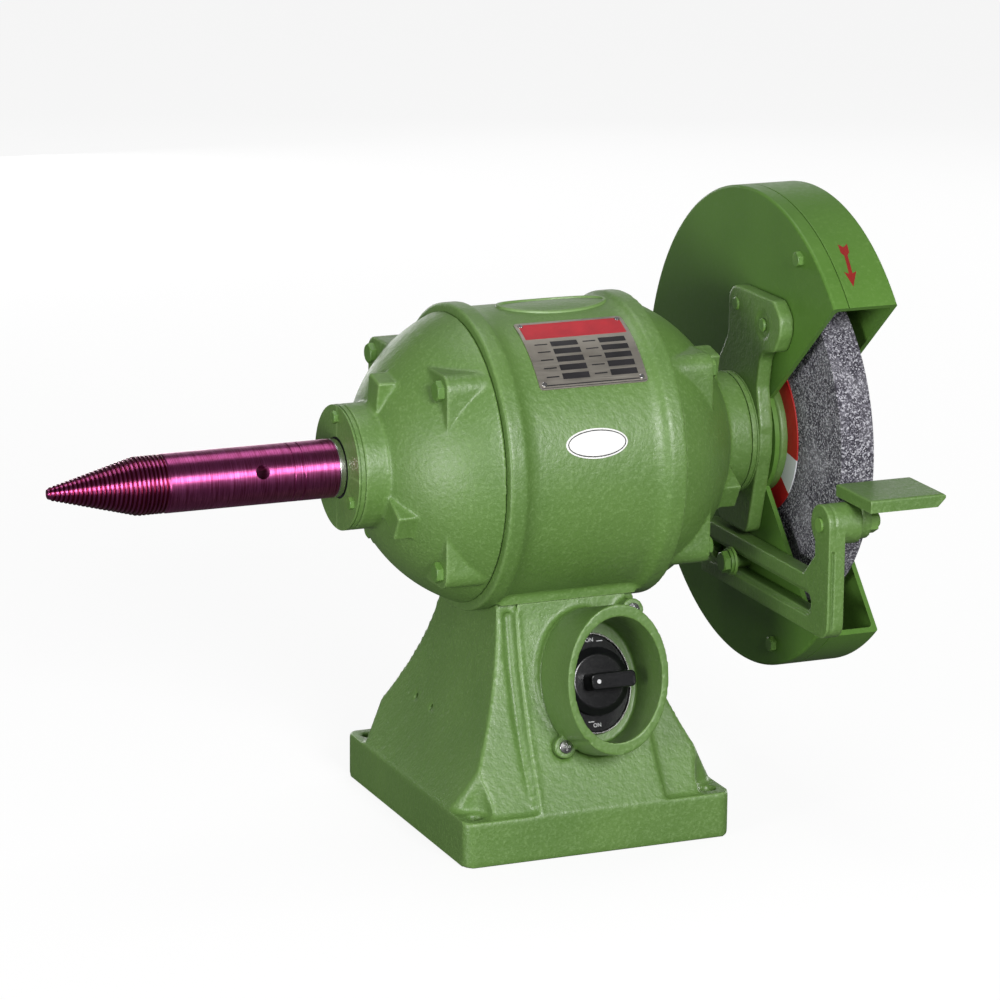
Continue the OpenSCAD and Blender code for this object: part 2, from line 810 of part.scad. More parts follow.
// One end bell, drawn for the left side
module end_bell(side) {
    color(enamel) at_shaft() on_side(side) difference() {
        union() {
            intersection() {
                difference() {
                    translate([-dome_x, 0, 0]) sphere(r = dome_r);
                    translate([-dome_x, 0, 0]) sphere(r = dome_r - bell_wall);
                }
                along_x(-hub_x + 8, -motor_half, dome_r);
            }
            along_x(-hub_x, -hub_x + 34, hub_r);
            intersection() {
                for (angle = hub_rib_angles)
                    at_angle(angle) translate([-hub_rib_x - hub_rib_t, -hub_rib_r, -hub_rib_w / 2])
                        cube([hub_rib_t, hub_rib_r - hub_r / 2, hub_rib_w]);
                along_x(-hub_x, 0, hub_rib_r);
            }
            for (angle = lug_angles) {
                at_shaft_lug(angle);
                on_circle(bell_bolt_pcr, angle) along_x(-lug_x, -motor_half, lug_r);
            }
        }
        along_x(-hub_x - 1, -bearing_x + bearing_w / 2, bearing_d / 2 + seat_gap);
        along_x(-hub_x - 1, 0, shoulder_r);
        for (angle = lug_angles)
            on_circle(bell_bolt_pcr, angle) along_x(-lug_x - 1, -motor_half + 1, bell_bolt_d / 2 + seat_gap);
        for (angle = cap_screw_angles)
            on_circle(cap_screw_pcr, angle) along_x(-hub_x - 1, -hub_x + 14, cap_screw_d / 2 + seat_gap);
    }
}

// The web that spreads a lug's load over the dome
module at_shaft_lug(angle) {
    lug_top_r = bell_bolt_pcr + lug_r;
    intersection() {
        at_angle(angle) rotate([90, 0, 0]) linear_extrude(lug_top_r + 1)
            polygon([
                [-motor_half, -lug_foot_half], [-motor_half, lug_foot_half],
                [-lug_x + 1, lug_r - 2], [-lug_x + 1, -lug_r + 2]]);
        along_x(-lug_x, -motor_half, lug_top_r);
        difference() {
            along_x(-lug_x, -motor_half, lug_top_r + 1);
            translate([-dome_x, 0, 0]) sphere(r = dome_r - bell_wall);
        }
    }
}

module left_end_bell() {
    end_bell(-1);
}

module right_end_bell() {
    end_bell(1);
}

module end_bell_bolts() {
    color("#4d6e38") at_shaft() for (side = [-1, 1])
        on_side(side) for (angle = lug_angles)
            on_circle(bell_bolt_pcr, angle) {
                hex_x(-lug_x - bolt_head_t, -lug_x, bell_bolt_af);
                along_x(-lug_x, -motor_half + lug_depth - 3, bell_bolt_d / 2);
            }
}

// Bearings, drawn for the left side

module bearing_cap(side) {
    color(enamel) at_shaft() on_side(side) difference() {
        union() {
            along_x(-cap_x, -hub_x, hub_r);
            along_x(-hub_x, -bearing_x - bearing_w / 2, bearing_d / 2);
        }
        along_x(-cap_x - 1, 0, cap_hole_r);
        for (angle = cap_screw_angles)
            on_circle(cap_screw_pcr, angle) along_x(-cap_x - 1, -hub_x + 1, cap_screw_d / 2 + seat_gap);
        tube_x(-cap_x + 1, -cap_x + 1.8, hub_r - 0.6, hub_r + 1);
    }
}

module left_bearing_cap() {
    bearing_cap(-1);
}

module right_bearing_cap() {
    bearing_cap(1);
}

module bearing_cap_screws() {
    color(steel) at_shaft() {
        for (angle = cap_screw_angles)
            on_circle(cap_screw_pcr, angle) {
                hex_x(-cap_x - cap_screw_head_t, -cap_x, cap_screw_af);
                along_x(-cap_x, -hub_x + 12, cap_screw_d / 2);
            }
        for (angle = cap_screw_angles)
            mirror([1, 0, 0]) on_circle(cap_screw_pcr, angle) {
                hex_x(-guard_x - cap_screw_head_t, -guard_x, cap_screw_af);
                along_x(-guard_x, -hub_x + 12, cap_screw_d / 2);
            }
    }
}

module ring_groove() {
    translate([race_r, 0]) circle(r = ball_d / 2 + race_gap);
}

// A bearing ring between two radii, with the balls' groove cut in it
module bearing_ring(side, r_in, r_out) {
    at_shaft() on_side(side) translate([-bearing_x, 0, 0]) rotate([0, 90, 0]) rotate_extrude() difference() {
        translate([r_in, -bearing_w / 2]) square([r_out - r_in, bearing_w]);
        ring_groove();
    }
}

module left_bearing_outer_ring() {
    color(steel) bearing_ring(-1, race_r + race_land, bearing_d / 2);
}

module right_bearing_outer_ring() {
    color(steel) bearing_ring(1, race_r + race_land, bearing_d / 2);
}

module left_bearing_inner_ring() {
    color(steel) bearing_ring(-1, bearing_bore_d / 2 + seat_gap, race_r - race_land);
}

module right_bearing_inner_ring() {
    color(steel) bearing_ring(1, bearing_bore_d / 2 + seat_gap, race_r - race_land);
}

module bearing_balls(side) {
    color("white") at_shaft() on_side(side) for (i = [0 : ball_count - 1])
        on_circle(race_r, 360 * i / ball_count) translate([-bearing_x, 0, 0]) sphere(d = ball_d);
}

module left_bearing_balls() {
    bearing_balls(-1);
}

module right_bearing_balls() {
    bearing_balls(1);
}

module shaft_seal(side) {
    color("#202020") at_shaft() on_side(side)
        tube_x(-cap_x + 0.5, -hub_x, sleeve_r + run_gap, cap_hole_r);
}

module left_shaft_seal() {
    shaft_seal(-1);
}

module right_shaft_seal() {
    shaft_seal(1);
}

// Rotor

module rotor_shaft() {
    color("#a9a9ad") at_shaft() {
        along_x(-shaft_left_x, -bearing_x, spindle_bore_r - seat_gap);
        along_x(-hub_x, -bearing_x + bearing_w / 2, bearing_bore_d / 2);
        along_x(-bearing_x + bearing_w / 2, bearing_x - bearing_w / 2, shaft_mid_r);
        along_x(bearing_x - bearing_w / 2, shaft_right_x, bearing_bore_d / 2);
    }
}

module rotor_core() {
    color("#77777c") at_shaft() tube_x(-core_len / 2, core_len / 2, shaft_mid_r + seat_gap, rotor_r);
}

module rotor_end_rings() {
    color("#c9c9cc") at_shaft() {
        tube_x(-core_len / 2 - end_ring_t, -core_len / 2, rotor_r - 16, rotor_r - 1);
        tube_x(core_len / 2, core_len / 2 + end_ring_t, rotor_r - 16, rotor_r - 1);
    }
}

// Radius over the thread's crests at a distance from the motor's middle
function crest_r(x) = spindle_r + (tip_r - spindle_r) * max(0, x - cone_x) / cone_len;
function crest_x(i) = thread_x + i * thread_pitch;

module spindle() {
    color(purple) at_shaft() difference() {
        mirror([1, 0, 0]) rotate([0, 90, 0]) rotate_extrude() polygon(concat(
            [[0, spindle_root_x + 1], [spindle_r - 1, spindle_root_x], [spindle_r, spindle_root_x + 1],
                [spindle_r, thread_x]],
            [for (i = [0.5 : 0.5 : thread_count])
                [crest_r(crest_x(i)) - (i == floor(i) ? 0 : thread_depth), crest_x(i)]],
            [[tip_r - thread_depth, tip_x], [0, tip_x]]));
        along_x(-shaft_left_x - 1, -spindle_root_x + 2, spindle_bore_r);
        on_circle(0, tommy_angle) translate([-tommy_x, 2 * spindle_r, 0]) rotate([90, 0, 0])
            cylinder(h = 4 * spindle_r, d = tommy_d);
        for (x = groove_xs)
            tube_x(-x - groove_w / 2, -x + groove_w / 2, spindle_r - groove_depth, spindle_r + 1);
    }
}

module spindle_collar() {
    color(steel) at_shaft() difference() {
        union() {
            along_x(-cap_x, -hub_x + 1, sleeve_r);
            along_x(-spindle_root_x - 1, -cap_x + 0.1, sleeve_head_r);
        }
        along_x(-spindle_root_x - 2, -hub_x, spindle_bore_r);
        along_x(-hub_x - eps, 0, bearing_bore_d / 2 + seat_gap);
        along_x(-spindle_root_x - 2, -spindle_root_x, spindle_r + 1);
    }
}

// Wheel and its clamp

module inner_wheel_flange() {
    color(enamel) at_shaft() difference() {
        union() {
            along_x(inner_flange_x, inner_flange_x + flange_t, flange_r);
            along_x(hub_x - 1, inner_flange_x + 1, sleeve_r);
        }
        along_x(0, wheel_x, bearing_bore_d / 2 + seat_gap);
        tube_x(inner_flange_x + flange_t - 1, inner_flange_x + flange_t + 1, 0.1, flange_r - 14);
    }
}

module outer_wheel_flange() {
    color("#8b8b8f") at_shaft() difference() {
        along_x(outer_flange_x, outer_flange_x + flange_t, flange_r);
        along_x(outer_flange_x - 1, outer_flange_x + flange_t + 1, bearing_bore_d / 2 + seat_gap);
    }
}

module wheel_blotters() {
    color("#b02a24") at_shaft() {
        tube_x(wheel_x - blotter_t, wheel_x, flange_r - 14, blotter_r);
        tube_x(wheel_x + wheel_t, wheel_x + wheel_t + blotter_t, wheel_seat_d / 2 + 1, blotter_r);
    }
}

module grinding_wheel() {
    color("#6d6d72") at_shaft() tube_x(wheel_x, wheel_x + wheel_t, wheel_seat_d / 2 + seat_gap, wheel_d / 2);
}

module wheel_nut() {
    low = outer_flange_x + flange_t;
    color(steel) at_shaft() difference() {
        hex_x(low, low + nut_t, nut_af);
        along_x(low - 1, low + nut_t + 1, bearing_bore_d / 2 + seat_gap);
    }
}

// Guard

// Outline of the guard bracket about the shaft, from front to back and up
module bracket_outline() {
    polygon(bracket_points);
    circle(r = hub_r);
}

module across_x(x0, x1) {
    translate([x0, 0, 0]) rotate([90, 0, 90]) linear_extrude(x1 - x0) children();
}

module guard_bracket() {
    color(enamel) at_shaft() difference() {
        across_x(cap_x, guard_x) bracket_outline();
        along_x(cap_x - 1, guard_x + 1, cap_hole_r);
        for (angle = cap_screw_angles)
            on_circle(cap_screw_pcr, angle) along_x(cap_x - 1, guard_x + 1, cap_screw_d / 2 + seat_gap);
        for (p = bracket_bolt_places)
            translate([0, p[0], p[1]]) along_x(cap_x - 1, guard_x + 1, bracket_bolt_d / 2 + seat_gap);
    }
}

module guard_bracket_bolts() {
    color("#4d6e38") at_shaft() for (p = bracket_bolt_places)
        translate([0, p[0], p[1]]) {
            hex_x(cap_x - bolt_head_t, cap_x, m10_af);
            along_x(cap_x, plate_in_x + bracket_nut_t + 0.5, bracket_bolt_d / 2);
        }
}

module guard_bracket_nuts() {
    color(steel) at_shaft() for (p = bracket_bolt_places)
        translate([0, p[0], p[1]]) difference() {
            hex_x(plate_in_x, plate_in_x + bracket_nut_t, m10_af);
            along_x(plate_in_x - 1, plate_in_x + bracket_nut_t + 1, bracket_bolt_d / 2 + seat_gap);
        }
}

// The mouth is a wedge with its point on the shaft
module mouth_outline() {
    reach = 2 * guard_r;
    polygon([[0, 0], [-reach * cos(mouth_top), reach * sin(mouth_top)], [-reach, 0],
        [-reach * cos(mouth_bottom), -reach * sin(mouth_bottom)]]);
}

module at_guard() {
    translate([0, 0, shaft_h + guard_dz]) children();
}

module guard_shell() {
    color(enamel) difference() {
        at_guard() difference() {
            along_x(guard_x, seam_x, guard_r);
            along_x(plate_in_x, seam_x + 1, guard_r - rim_wall);
            for (angle = guard_screw_angles)
                on_circle(guard_screw_pcr, angle) along_x(guard_x - 1, seam_x, guard_screw_d / 2 + seat_gap);
        }
        at_shaft() difference() {
            across_x(guard_x - 1, seam_x + 1) mouth_outline();
            along_x(guard_x - 2, plate_in_x, guard_lip_r);
        }
        at_shaft() along_x(guard_x - 1, seam_x, guard_hole_r);
        at_shaft() for (p = bracket_bolt_places)
            translate([0, p[0], p[1]]) along_x(guard_x - 1, seam_x, bracket_bolt_d / 2 + seat_gap);
        at_shaft() translate([0, -clamp_y, -slot_drop]) along_x(guard_x - 1, seam_x, clamp_bolt_d / 2 + seat_gap);
    }
}

module guard_cover() {
    color(enamel) difference() {
        union() {
            at_guard() difference() {
                along_x(seam_x, guard_end_x, guard_r);
                along_x(seam_x - 1, guard_end_x - side_t, guard_r - rim_wall);
            }
            at_guard() for (angle = guard_screw_angles)
                on_circle(guard_screw_pcr, angle) along_x(plate_in_x, guard_end_x - 1, guard_post_r);
            at_shaft() along_x(guard_end_x - 1, guard_end_x + nut_cap_h, nut_cap_r);
        }
        at_shaft() along_x(seam_x, guard_end_x + nut_cap_h - nut_cap_wall, nut_cap_r - nut_cap_wall);
        difference() {
            at_shaft() across_x(guard_x, guard_end_x + 1) mouth_outline();
            at_shaft() along_x(guard_end_x - side_t, guard_end_x + 1, guard_hub_disc_r);
        }
        at_guard() for (angle = guard_screw_angles)
            on_circle(guard_screw_pcr, angle)
                along_x(guard_x, guard_x + guard_screw_len + 2, guard_screw_d / 2 + seat_gap);
    }
}

module guard_screws() {
    color(steel) at_guard() for (angle = guard_screw_angles)
        on_circle(guard_screw_pcr, angle) {
            hex_x(guard_x - guard_screw_head_t, guard_x, guard_screw_af);
            along_x(guard_x, guard_x + guard_screw_len, guard_screw_d / 2);
        }
}

// Tool rest

module rest_clamp_bolt() {
    color(steel) at_shaft() translate([0, -clamp_y, -slot_drop]) {
        hex_x(slide_x - run_gap - washer_t - clamp_head_t, slide_x - run_gap - washer_t, m10_af);
        along_x(slide_x - run_gap - washer_t, plate_in_x + clamp_nut_t + 0.5, clamp_bolt_d / 2);
    }
}

module rest_clamp_nut() {
    color(steel) at_shaft() translate([0, -clamp_y, -slot_drop]) difference() {
        hex_x(plate_in_x, plate_in_x + clamp_nut_t, m10_af);
        along_x(plate_in_x - 1, plate_in_x + clamp_nut_t + 1, clamp_bolt_d / 2 + seat_gap);
    }
}

module rest_clamp_washer() {
    color(steel) at_shaft() translate([0, -clamp_y, -slot_drop])
        tube_x(slide_x - run_gap - washer_t, slide_x - run_gap, clamp_bolt_d / 2 + seat_gap, washer_r);
}

module rest_bracket() {
    arm_front = arm_y + arm_w / 2;
    arm_back = arm_y - arm_w / 2;
    bar_top = -slot_drop + bar_h / 2;
    bar_bottom = -slot_drop - bar_h / 2;
    color(enamel) at_shaft() difference() {
        union() {
            across_x(slide_x, slide_x + slide_t) {
                translate([-arm_y, bar_bottom]) square([arm_y + bar_back, bar_h]);
                translate([-arm_front, bar_bottom + arm_foot]) square([arm_w, -bar_bottom - arm_foot - pivot_drop]);
                translate([-arm_y, bar_bottom + arm_w / 2]) circle(d = arm_w);
                translate([-arm_back, bar_top]) polygon([[-1, -1], [gusset_d, -1], [gusset_d, 0], [-1, gusset_h]]);
            }
            translate([0, -pivot_y, -pivot_drop]) along_x(slide_x, pivot_boss_x, pivot_boss_r);
        }
        across_x(slide_x - 1, slide_x + slide_t + 1) {
            translate([-slot_front + slot_w / 2, -slot_drop - slot_w / 2])
                square([slot_front + slot_back - slot_w, slot_w]);
            translate([-slot_front + slot_w / 2, -slot_drop]) circle(d = slot_w);
            translate([slot_back - slot_w / 2, -slot_drop]) circle(d = slot_w);
        }
        translate([0, -pivot_y, -pivot_drop]) along_x(slide_x - 1, pivot_boss_x + 1, pivot_d / 2 + seat_gap);
    }
}

module rest_pivot_bolt() {
    color(steel) at_shaft() translate([0, -pivot_y, -pivot_drop])
        along_x(slide_x - stud_proud, eye_x + eye_t + run_gap + pivot_nut_t + 2 * stud_proud, pivot_d / 2);
}

module rest_pivot_nut() {
    low = eye_x + eye_t + run_gap;
    color(steel) at_shaft() translate([0, -pivot_y, -pivot_drop]) difference() {
        hex_x(low, low + pivot_nut_t, m10_af);
        along_x(low - 1, low + pivot_nut_t + 1, pivot_d / 2 + seat_gap);
    }
}

module rest_plate() {
    lug_h = pivot_drop - rest_drop - rest_t;
    color(enamel) at_shaft() difference() {
        union() {
            translate([rest_x, -rest_y - rest_d, -rest_drop - rest_t]) cube([rest_w, rest_d, rest_t]);
            translate([0, -pivot_y, -pivot_drop]) {
                along_x(eye_x, eye_x + eye_t, eye_r);
                translate([eye_x, -eye_r, 0]) cube([eye_t, 2 * eye_r, lug_h + 1]);
            }
        }
        translate([0, -pivot_y, -pivot_drop]) along_x(eye_x - 1, eye_x + eye_t + 1, pivot_d / 2 + bore_gap);
        translate([rest_x + rest_w, 0, -rest_drop - rest_t]) rotate([0, 45, 0])
            cube([8, 4 * rest_y, 8], center = true);
    }
}

pedestal();
motor_mount_bolts();
cable_gland();
earth_stud();
switch_housing();
switch_housing_screws();
switch_plate();
switch_bezel();
switch_body();
terminal_block();
switch_knob();
switch_shaft();
motor_barrel();
stator_core();
stator_windings();
name_plate();
name_plate_rivets();
oval_badge();
left_end_bell();
right_end_bell();
end_bell_bolts();
left_bearing_cap();
right_bearing_cap();
bearing_cap_screws();
left_bearing_outer_ring();
right_bearing_outer_ring();
left_bearing_inner_ring();
right_bearing_inner_ring();
left_bearing_balls();
right_bearing_balls();
left_shaft_seal();
right_shaft_seal();
rotor_shaft();
rotor_core();
rotor_end_rings();
spindle();
spindle_collar();
inner_wheel_flange();
outer_wheel_flange();
wheel_blotters();
grinding_wheel();
wheel_nut();
guard_bracket();
guard_bracket_bolts();
guard_bracket_nuts();
guard_shell();
guard_cover();
guard_screws();
rest_clamp_bolt();
rest_clamp_nut();
rest_clamp_washer();
rest_bracket();
rest_pivot_bolt();
rest_pivot_nut();
rest_plate();
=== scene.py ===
"""Bench polisher and grinder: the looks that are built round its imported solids.

Sizes are in millimetres in the machine's own frame: X runs along the shaft, with the polishing spindle at -X and the
grinding wheel at +X, the switch faces the front, -Y, and the bench is at zero. Meshes are scaled to metres when they
are made. Angles about the shaft are counted up from the front, in degrees.
"""

from __future__ import annotations

import logging
import math
from dataclasses import dataclass
from enum import Enum
from typing import Any, Callable, Sequence

import bmesh
import bpy
from mathutils import Matrix, Vector

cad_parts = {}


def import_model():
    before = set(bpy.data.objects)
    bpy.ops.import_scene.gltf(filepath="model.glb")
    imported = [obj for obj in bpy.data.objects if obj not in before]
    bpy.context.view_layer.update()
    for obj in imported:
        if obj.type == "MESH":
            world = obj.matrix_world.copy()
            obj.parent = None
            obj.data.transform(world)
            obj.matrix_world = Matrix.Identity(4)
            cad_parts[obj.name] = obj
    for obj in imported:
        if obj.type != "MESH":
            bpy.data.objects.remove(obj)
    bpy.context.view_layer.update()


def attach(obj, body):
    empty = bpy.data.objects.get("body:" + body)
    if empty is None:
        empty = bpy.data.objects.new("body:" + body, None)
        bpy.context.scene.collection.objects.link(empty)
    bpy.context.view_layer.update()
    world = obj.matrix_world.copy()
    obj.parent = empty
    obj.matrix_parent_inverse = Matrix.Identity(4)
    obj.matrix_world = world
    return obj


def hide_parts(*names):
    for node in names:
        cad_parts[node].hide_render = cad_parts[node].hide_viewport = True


LOG = logging.getLogger("machine")
MM = 0.001
SHAFT_H = 263.4
SWITCH_TILT = 17.0
MERGE_WITHIN = 1e-6
QUARTERS = ((-1, -1), (-1, 1), (1, -1), (1, 1))
THIRDS = (90, 210, 330)

Pair = tuple[float, float]
Triple = tuple[float, float, float]
Socket = bpy.types.NodeSocket


class Body(Enum):
    """The bodies that the pieces ride on."""

    MACHINE = "machine"
    ROTOR = "rotor"
    SWITCH = "switch"
    REST_SLIDE = "rest_slide"
    REST_TABLE = "rest_table"


# Frames in which outlines and profiles are drawn


def shaft_frame() -> Matrix:
    """Local Z runs along the shaft, local X to the back and local Y up."""
    return Matrix(((0, 0, 1, 0), (1, 0, 0, 0), (0, 1, 0, SHAFT_H), (0, 0, 0, 1)))


def switch_frame() -> Matrix:
    """Local Z runs out along the switch's own axis, with its seat at zero."""
    return Matrix.Translation((8.5, -77.194, 112.8)) @ Matrix.Rotation(math.radians(90 - SWITCH_TILT), 4, "X")


def on_circle(x: float, radius: float, angle: float, rise: float = 0.0) -> Vector:
    """Finds a point about the shaft.

    Args:
        x: Place along the shaft.
        radius: Distance from the shaft, or from a line that much above it.
        angle: Angle above the front.
        rise: Height of the circle's centre above the shaft.

    Returns:
        The point in the machine's frame.
    """
    turn = math.radians(angle)
    return Vector((x, -radius * math.cos(turn), SHAFT_H + rise + radius * math.sin(turn)))


def linear(colour: str) -> tuple[float, float, float, float]:
    """Turns a written colour into linear light.

    Args:
        colour: A colour such as #5b7f42.

    Returns:
        Red, green, blue and full alpha.
    """
    parts = [int(colour[i : i + 2], 16) / 255 for i in (1, 3, 5)]
    light = [p / 12.92 if p <= 0.04045 else ((p + 0.055) / 1.055) ** 2.4 for p in parts]
    return (light[0], light[1], light[2], 1.0)


def rounded(points: Sequence[Pair], radii: float | Sequence[float], steps: int = 4) -> list[Pair]:
    """Rounds the corners of a closed outline.

    Args:
        points: The outline's corners in order.
        radii: One radius for every corner, or one for each.
        steps: Number of straight steps in each rounding.

    Returns:
        The outline with its corners rounded.
    """
    count = len(points)
    sizes = [float(radii)] * count if isinstance(radii, (int, float)) else list(radii)
    done: list[Pair] = []
    for i, (corner, radius) in enumerate(zip(points, sizes)):
        here = Vector(corner)
        before, after = Vector(points[i - 1]) - here, Vector(points[(i + 1) % count]) - here
        room = 0.49 * min(before.length, after.length)
        if radius <= 0 or room < 1e-6:
            done.append((here.x, here.y))
            continue
        before.normalize()
        after.normalize()
        half = math.acos(max(-1.0, min(1.0, before.dot(after)))) / 2
        if half > math.pi / 2 - 0.01:
            done.append((here.x, here.y))
            continue
        reach = min(radius / math.tan(half), room)
        middle = here + (before + after).normalized() * (reach / math.cos(half))
        first, last = here + before * reach - middle, here + after * reach - middle
        spread = first.angle_signed(last)
        for k in range(steps + 1):
            arm = first.copy()
            arm.rotate(Matrix.Rotation(-spread * k / steps, 2))
            done.append((middle.x + arm.x, middle.y + arm.y))
    return done


def oval(rx: float, ry: float, count: int = 96, centre: Pair = (0.0, 0.0)) -> list[Pair]:
    """Draws an oval as a closed outline of so many points."""
    turns = [2 * math.pi * i / count for i in range(count)]
    return [(centre[0] + rx * math.cos(t), centre[1] + ry * math.sin(t)) for t in turns]


def arc(radius: float, low: float, high: float, count: int) -> list[Pair]:
    """Draws an arc about the shaft from one angle to another, as points from front to back and up."""
    turns = [math.radians(low + (high - low) * i / (count - 1)) for i in range(count)]
    return [(-radius * math.cos(t), radius * math.sin(t)) for t in turns]


def rectangle(x0: float, y0: float, x1: float, y1: float) -> list[Pair]:
    """Draws a rectangle between two corners."""
    return [(x0, y0), (x1, y0), (x1, y1), (x0, y1)]


def sided(profile: Sequence[Pair], side: int) -> list[Pair]:
    """Turns a profile that is drawn along the shaft to the left, -1, or the right, 1."""
    return [(radius, side * along) for radius, along in profile]


# Calls that put things into the scene and into node trees


def placed(name: str, data: bpy.types.ID) -> bpy.types.Object:
    """Puts a mesh, curve, camera or lamp into the scene as an object at the origin.

    Args:
        name: The object's name.
        data: What it holds.

    Returns:
        The object.
    """
    obj = bpy.data.objects.new(name, data)
    bpy.context.scene.collection.objects.link(obj)
    return obj


def settled(form: bmesh.types.BMesh, name: str) -> bpy.types.Object:
    """Ends a mesh in the making as an object.

    Args:
        form: The mesh in the making, which is used up.
        name: The object's name.

    Returns:
        The object.
    """
    data = bpy.data.meshes.new(name)
    form.to_mesh(data)
    form.free()
    return placed(name, data)


def add_node(tree: bpy.types.NodeTree, kind: str, inputs: dict[Any, Any], **settings: Any) -> bpy.types.Node:
    """Adds a node to a tree.

    Args:
        tree: The tree.
        kind: The node's full type.
        inputs: Values or sockets by name or number; a list of sockets feeds one input in order.
        **settings: The node's own settings.

    Returns:
        The new node.
    """
    made = tree.nodes.new(kind)
    for key, value in settings.items():
        setattr(made, key, value)
    for key, value in inputs.items():
        for one in value if isinstance(value, list) else [value]:
            if isinstance(one, Socket):
                tree.links.new(one, made.inputs[key])
            else:
                made.inputs[key].default_value = one
    return made


class Form:
    """A mesh in the making, in millimetres."""

    def __init__(self) -> None:
        """Starts with nothing."""
        self.mesh = bmesh.new()

    def grid(self, rows: Sequence[Sequence[Vector]], wrap_rows: bool, wrap_columns: bool) -> Form:
        """Adds a skin through rows of points.

        Args:
            rows: Rows with the same number of points, or one point for a pole.
            wrap_rows: Whether the last row joins the first.
            wrap_columns: Whether each row is a ring.

        Returns:
            The form itself.
        """
        made = [[self.mesh.verts.new(p) for p in row] for row in rows]
        for i in range(len(made) if wrap_rows else len(made) - 1):
            low, high = made[i], made[(i + 1) % len(made)]
            wide = max(len(low), len(high))
            for k in range(wide if wrap_columns else wide - 1):
                n = (k + 1) % wide
                if len(low) == 1 and len(high) == 1:
                    continue
                if len(low) == 1:
                    self.mesh.faces.new((low[0], high[n], high[k]))
                elif len(high) == 1:
                    self.mesh.faces.new((low[k], low[n], high[0]))
                else:
                    self.mesh.faces.new((low[k], low[n], high[n], high[k]))
        return self

    def lathe(self, profile: Sequence[Pair], frame: Matrix, steps: int = 160, closed: bool = True) -> Form:
        """Turns a profile about a frame's Z.

        Args:
            profile: Points of radius and height; radius zero makes a pole.
            frame: Where the axis lies.
            steps: Number of steps round.
            closed: Whether the profile's end joins its start.

        Returns:
            The form itself.
        """
        turns = [2 * math.pi * k / steps for k in range(steps)]
        rows = []
        for radius, height in profile:
            if radius < 1e-6:
                rows.append([frame @ Vector((0, 0, height))])
            else:
                rows.append([frame @ Vector((radius * math.cos(t), radius * math.sin(t), height)) for t in turns])
        return self.grid(rows, closed, True)

    def prism(self, outline: Sequence[Pair], low: float, high: float, frame: Matrix) -> Form:
        """Pushes an outline out along a frame's Z."""
        return self.loft([[(x, y, low) for x, y in outline], [(x, y, high) for x, y in outline]], frame)

    def loft(self, sections: Sequence[Sequence[Triple]], frame: Matrix) -> Form:
        """Joins outlines with the same number of points, and closes both ends.

        Args:
            sections: The outlines in order.
            frame: Where they are drawn.

        Returns:
            The form itself.
        """
        rows = [[self.mesh.verts.new(frame @ Vector(p)) for p in section] for section in sections]
        for low, high in zip(rows, rows[1:]):
            for k in range(len(low)):
                n = (k + 1) % len(low)
                self.mesh.faces.new((low[k], low[n], high[n], high[k]))
        self.mesh.faces.new(rows[0][::-1])
        self.mesh.faces.new(rows[-1])
        return self

    def block(self, low: Triple, high: Triple, frame: Matrix | None = None) -> Form:
        """Adds a box between two corners."""
        return self.prism(rectangle(*low[:2], *high[:2]), low[2], high[2], frame or Matrix())

    def rod(self, start: Vector, end: Vector, radius: float, steps: int = 48) -> Form:
        """Adds a round rod.

        Args:
            start: The middle of one end.
            end: The middle of the other end.
            radius: Its radius.
            steps: Number of steps round.

        Returns:
            The form itself.
        """
        along = end - start
        frame = Matrix.Translation(start) @ along.to_track_quat("Z", "Y").to_matrix().to_4x4()
        return self.lathe([(0, 0), (radius, 0), (radius, along.length), (0, along.length)], frame, steps, False)

    def sheet(self, outline: Sequence[Pair], cuts: Sequence[float], bend: Callable[[Vector, bool], Vector]) -> Form:
        """Adds a thin sheet that lies on a curved skin, to a form with nothing in it yet.

        Args:
            outline: The sheet's outline, drawn flat.
            cuts: Levels at which the flat sheet is divided, so that it can bend.
            bend: Gives the place of a flat point, from the point and whether it is on the sheet's face.

        Returns:
            The form itself.
        """
        mesh = self.mesh
        mesh.faces.new([mesh.verts.new((x, v, 0)) for x, v in outline])
        for level in cuts:
            whole = mesh.verts[:] + mesh.edges[:] + mesh.faces[:]
            bmesh.ops.bisect_plane(mesh, geom=whole, plane_co=(0, level, 0), plane_no=(0, 1, 0))
        solid = bmesh.ops.extrude_face_region(mesh, geom=mesh.faces[:])
        raised = {g for g in solid["geom"] if isinstance(g, bmesh.types.BMVert)}
        for vert in mesh.verts:
            vert.co = bend(vert.co, vert in raised)
        return self

    def piece(self, name: str) -> bpy.types.Object:
        """Ends the form as an object in metres, with its faces pointing out.

        Args:
            name: The object's name.

        Returns:
            The object.
        """
        bmesh.ops.recalc_face_normals(self.mesh, faces=self.mesh.faces)
        self.mesh.transform(Matrix.Scale(MM, 4))
        return settled(self.mesh, name)


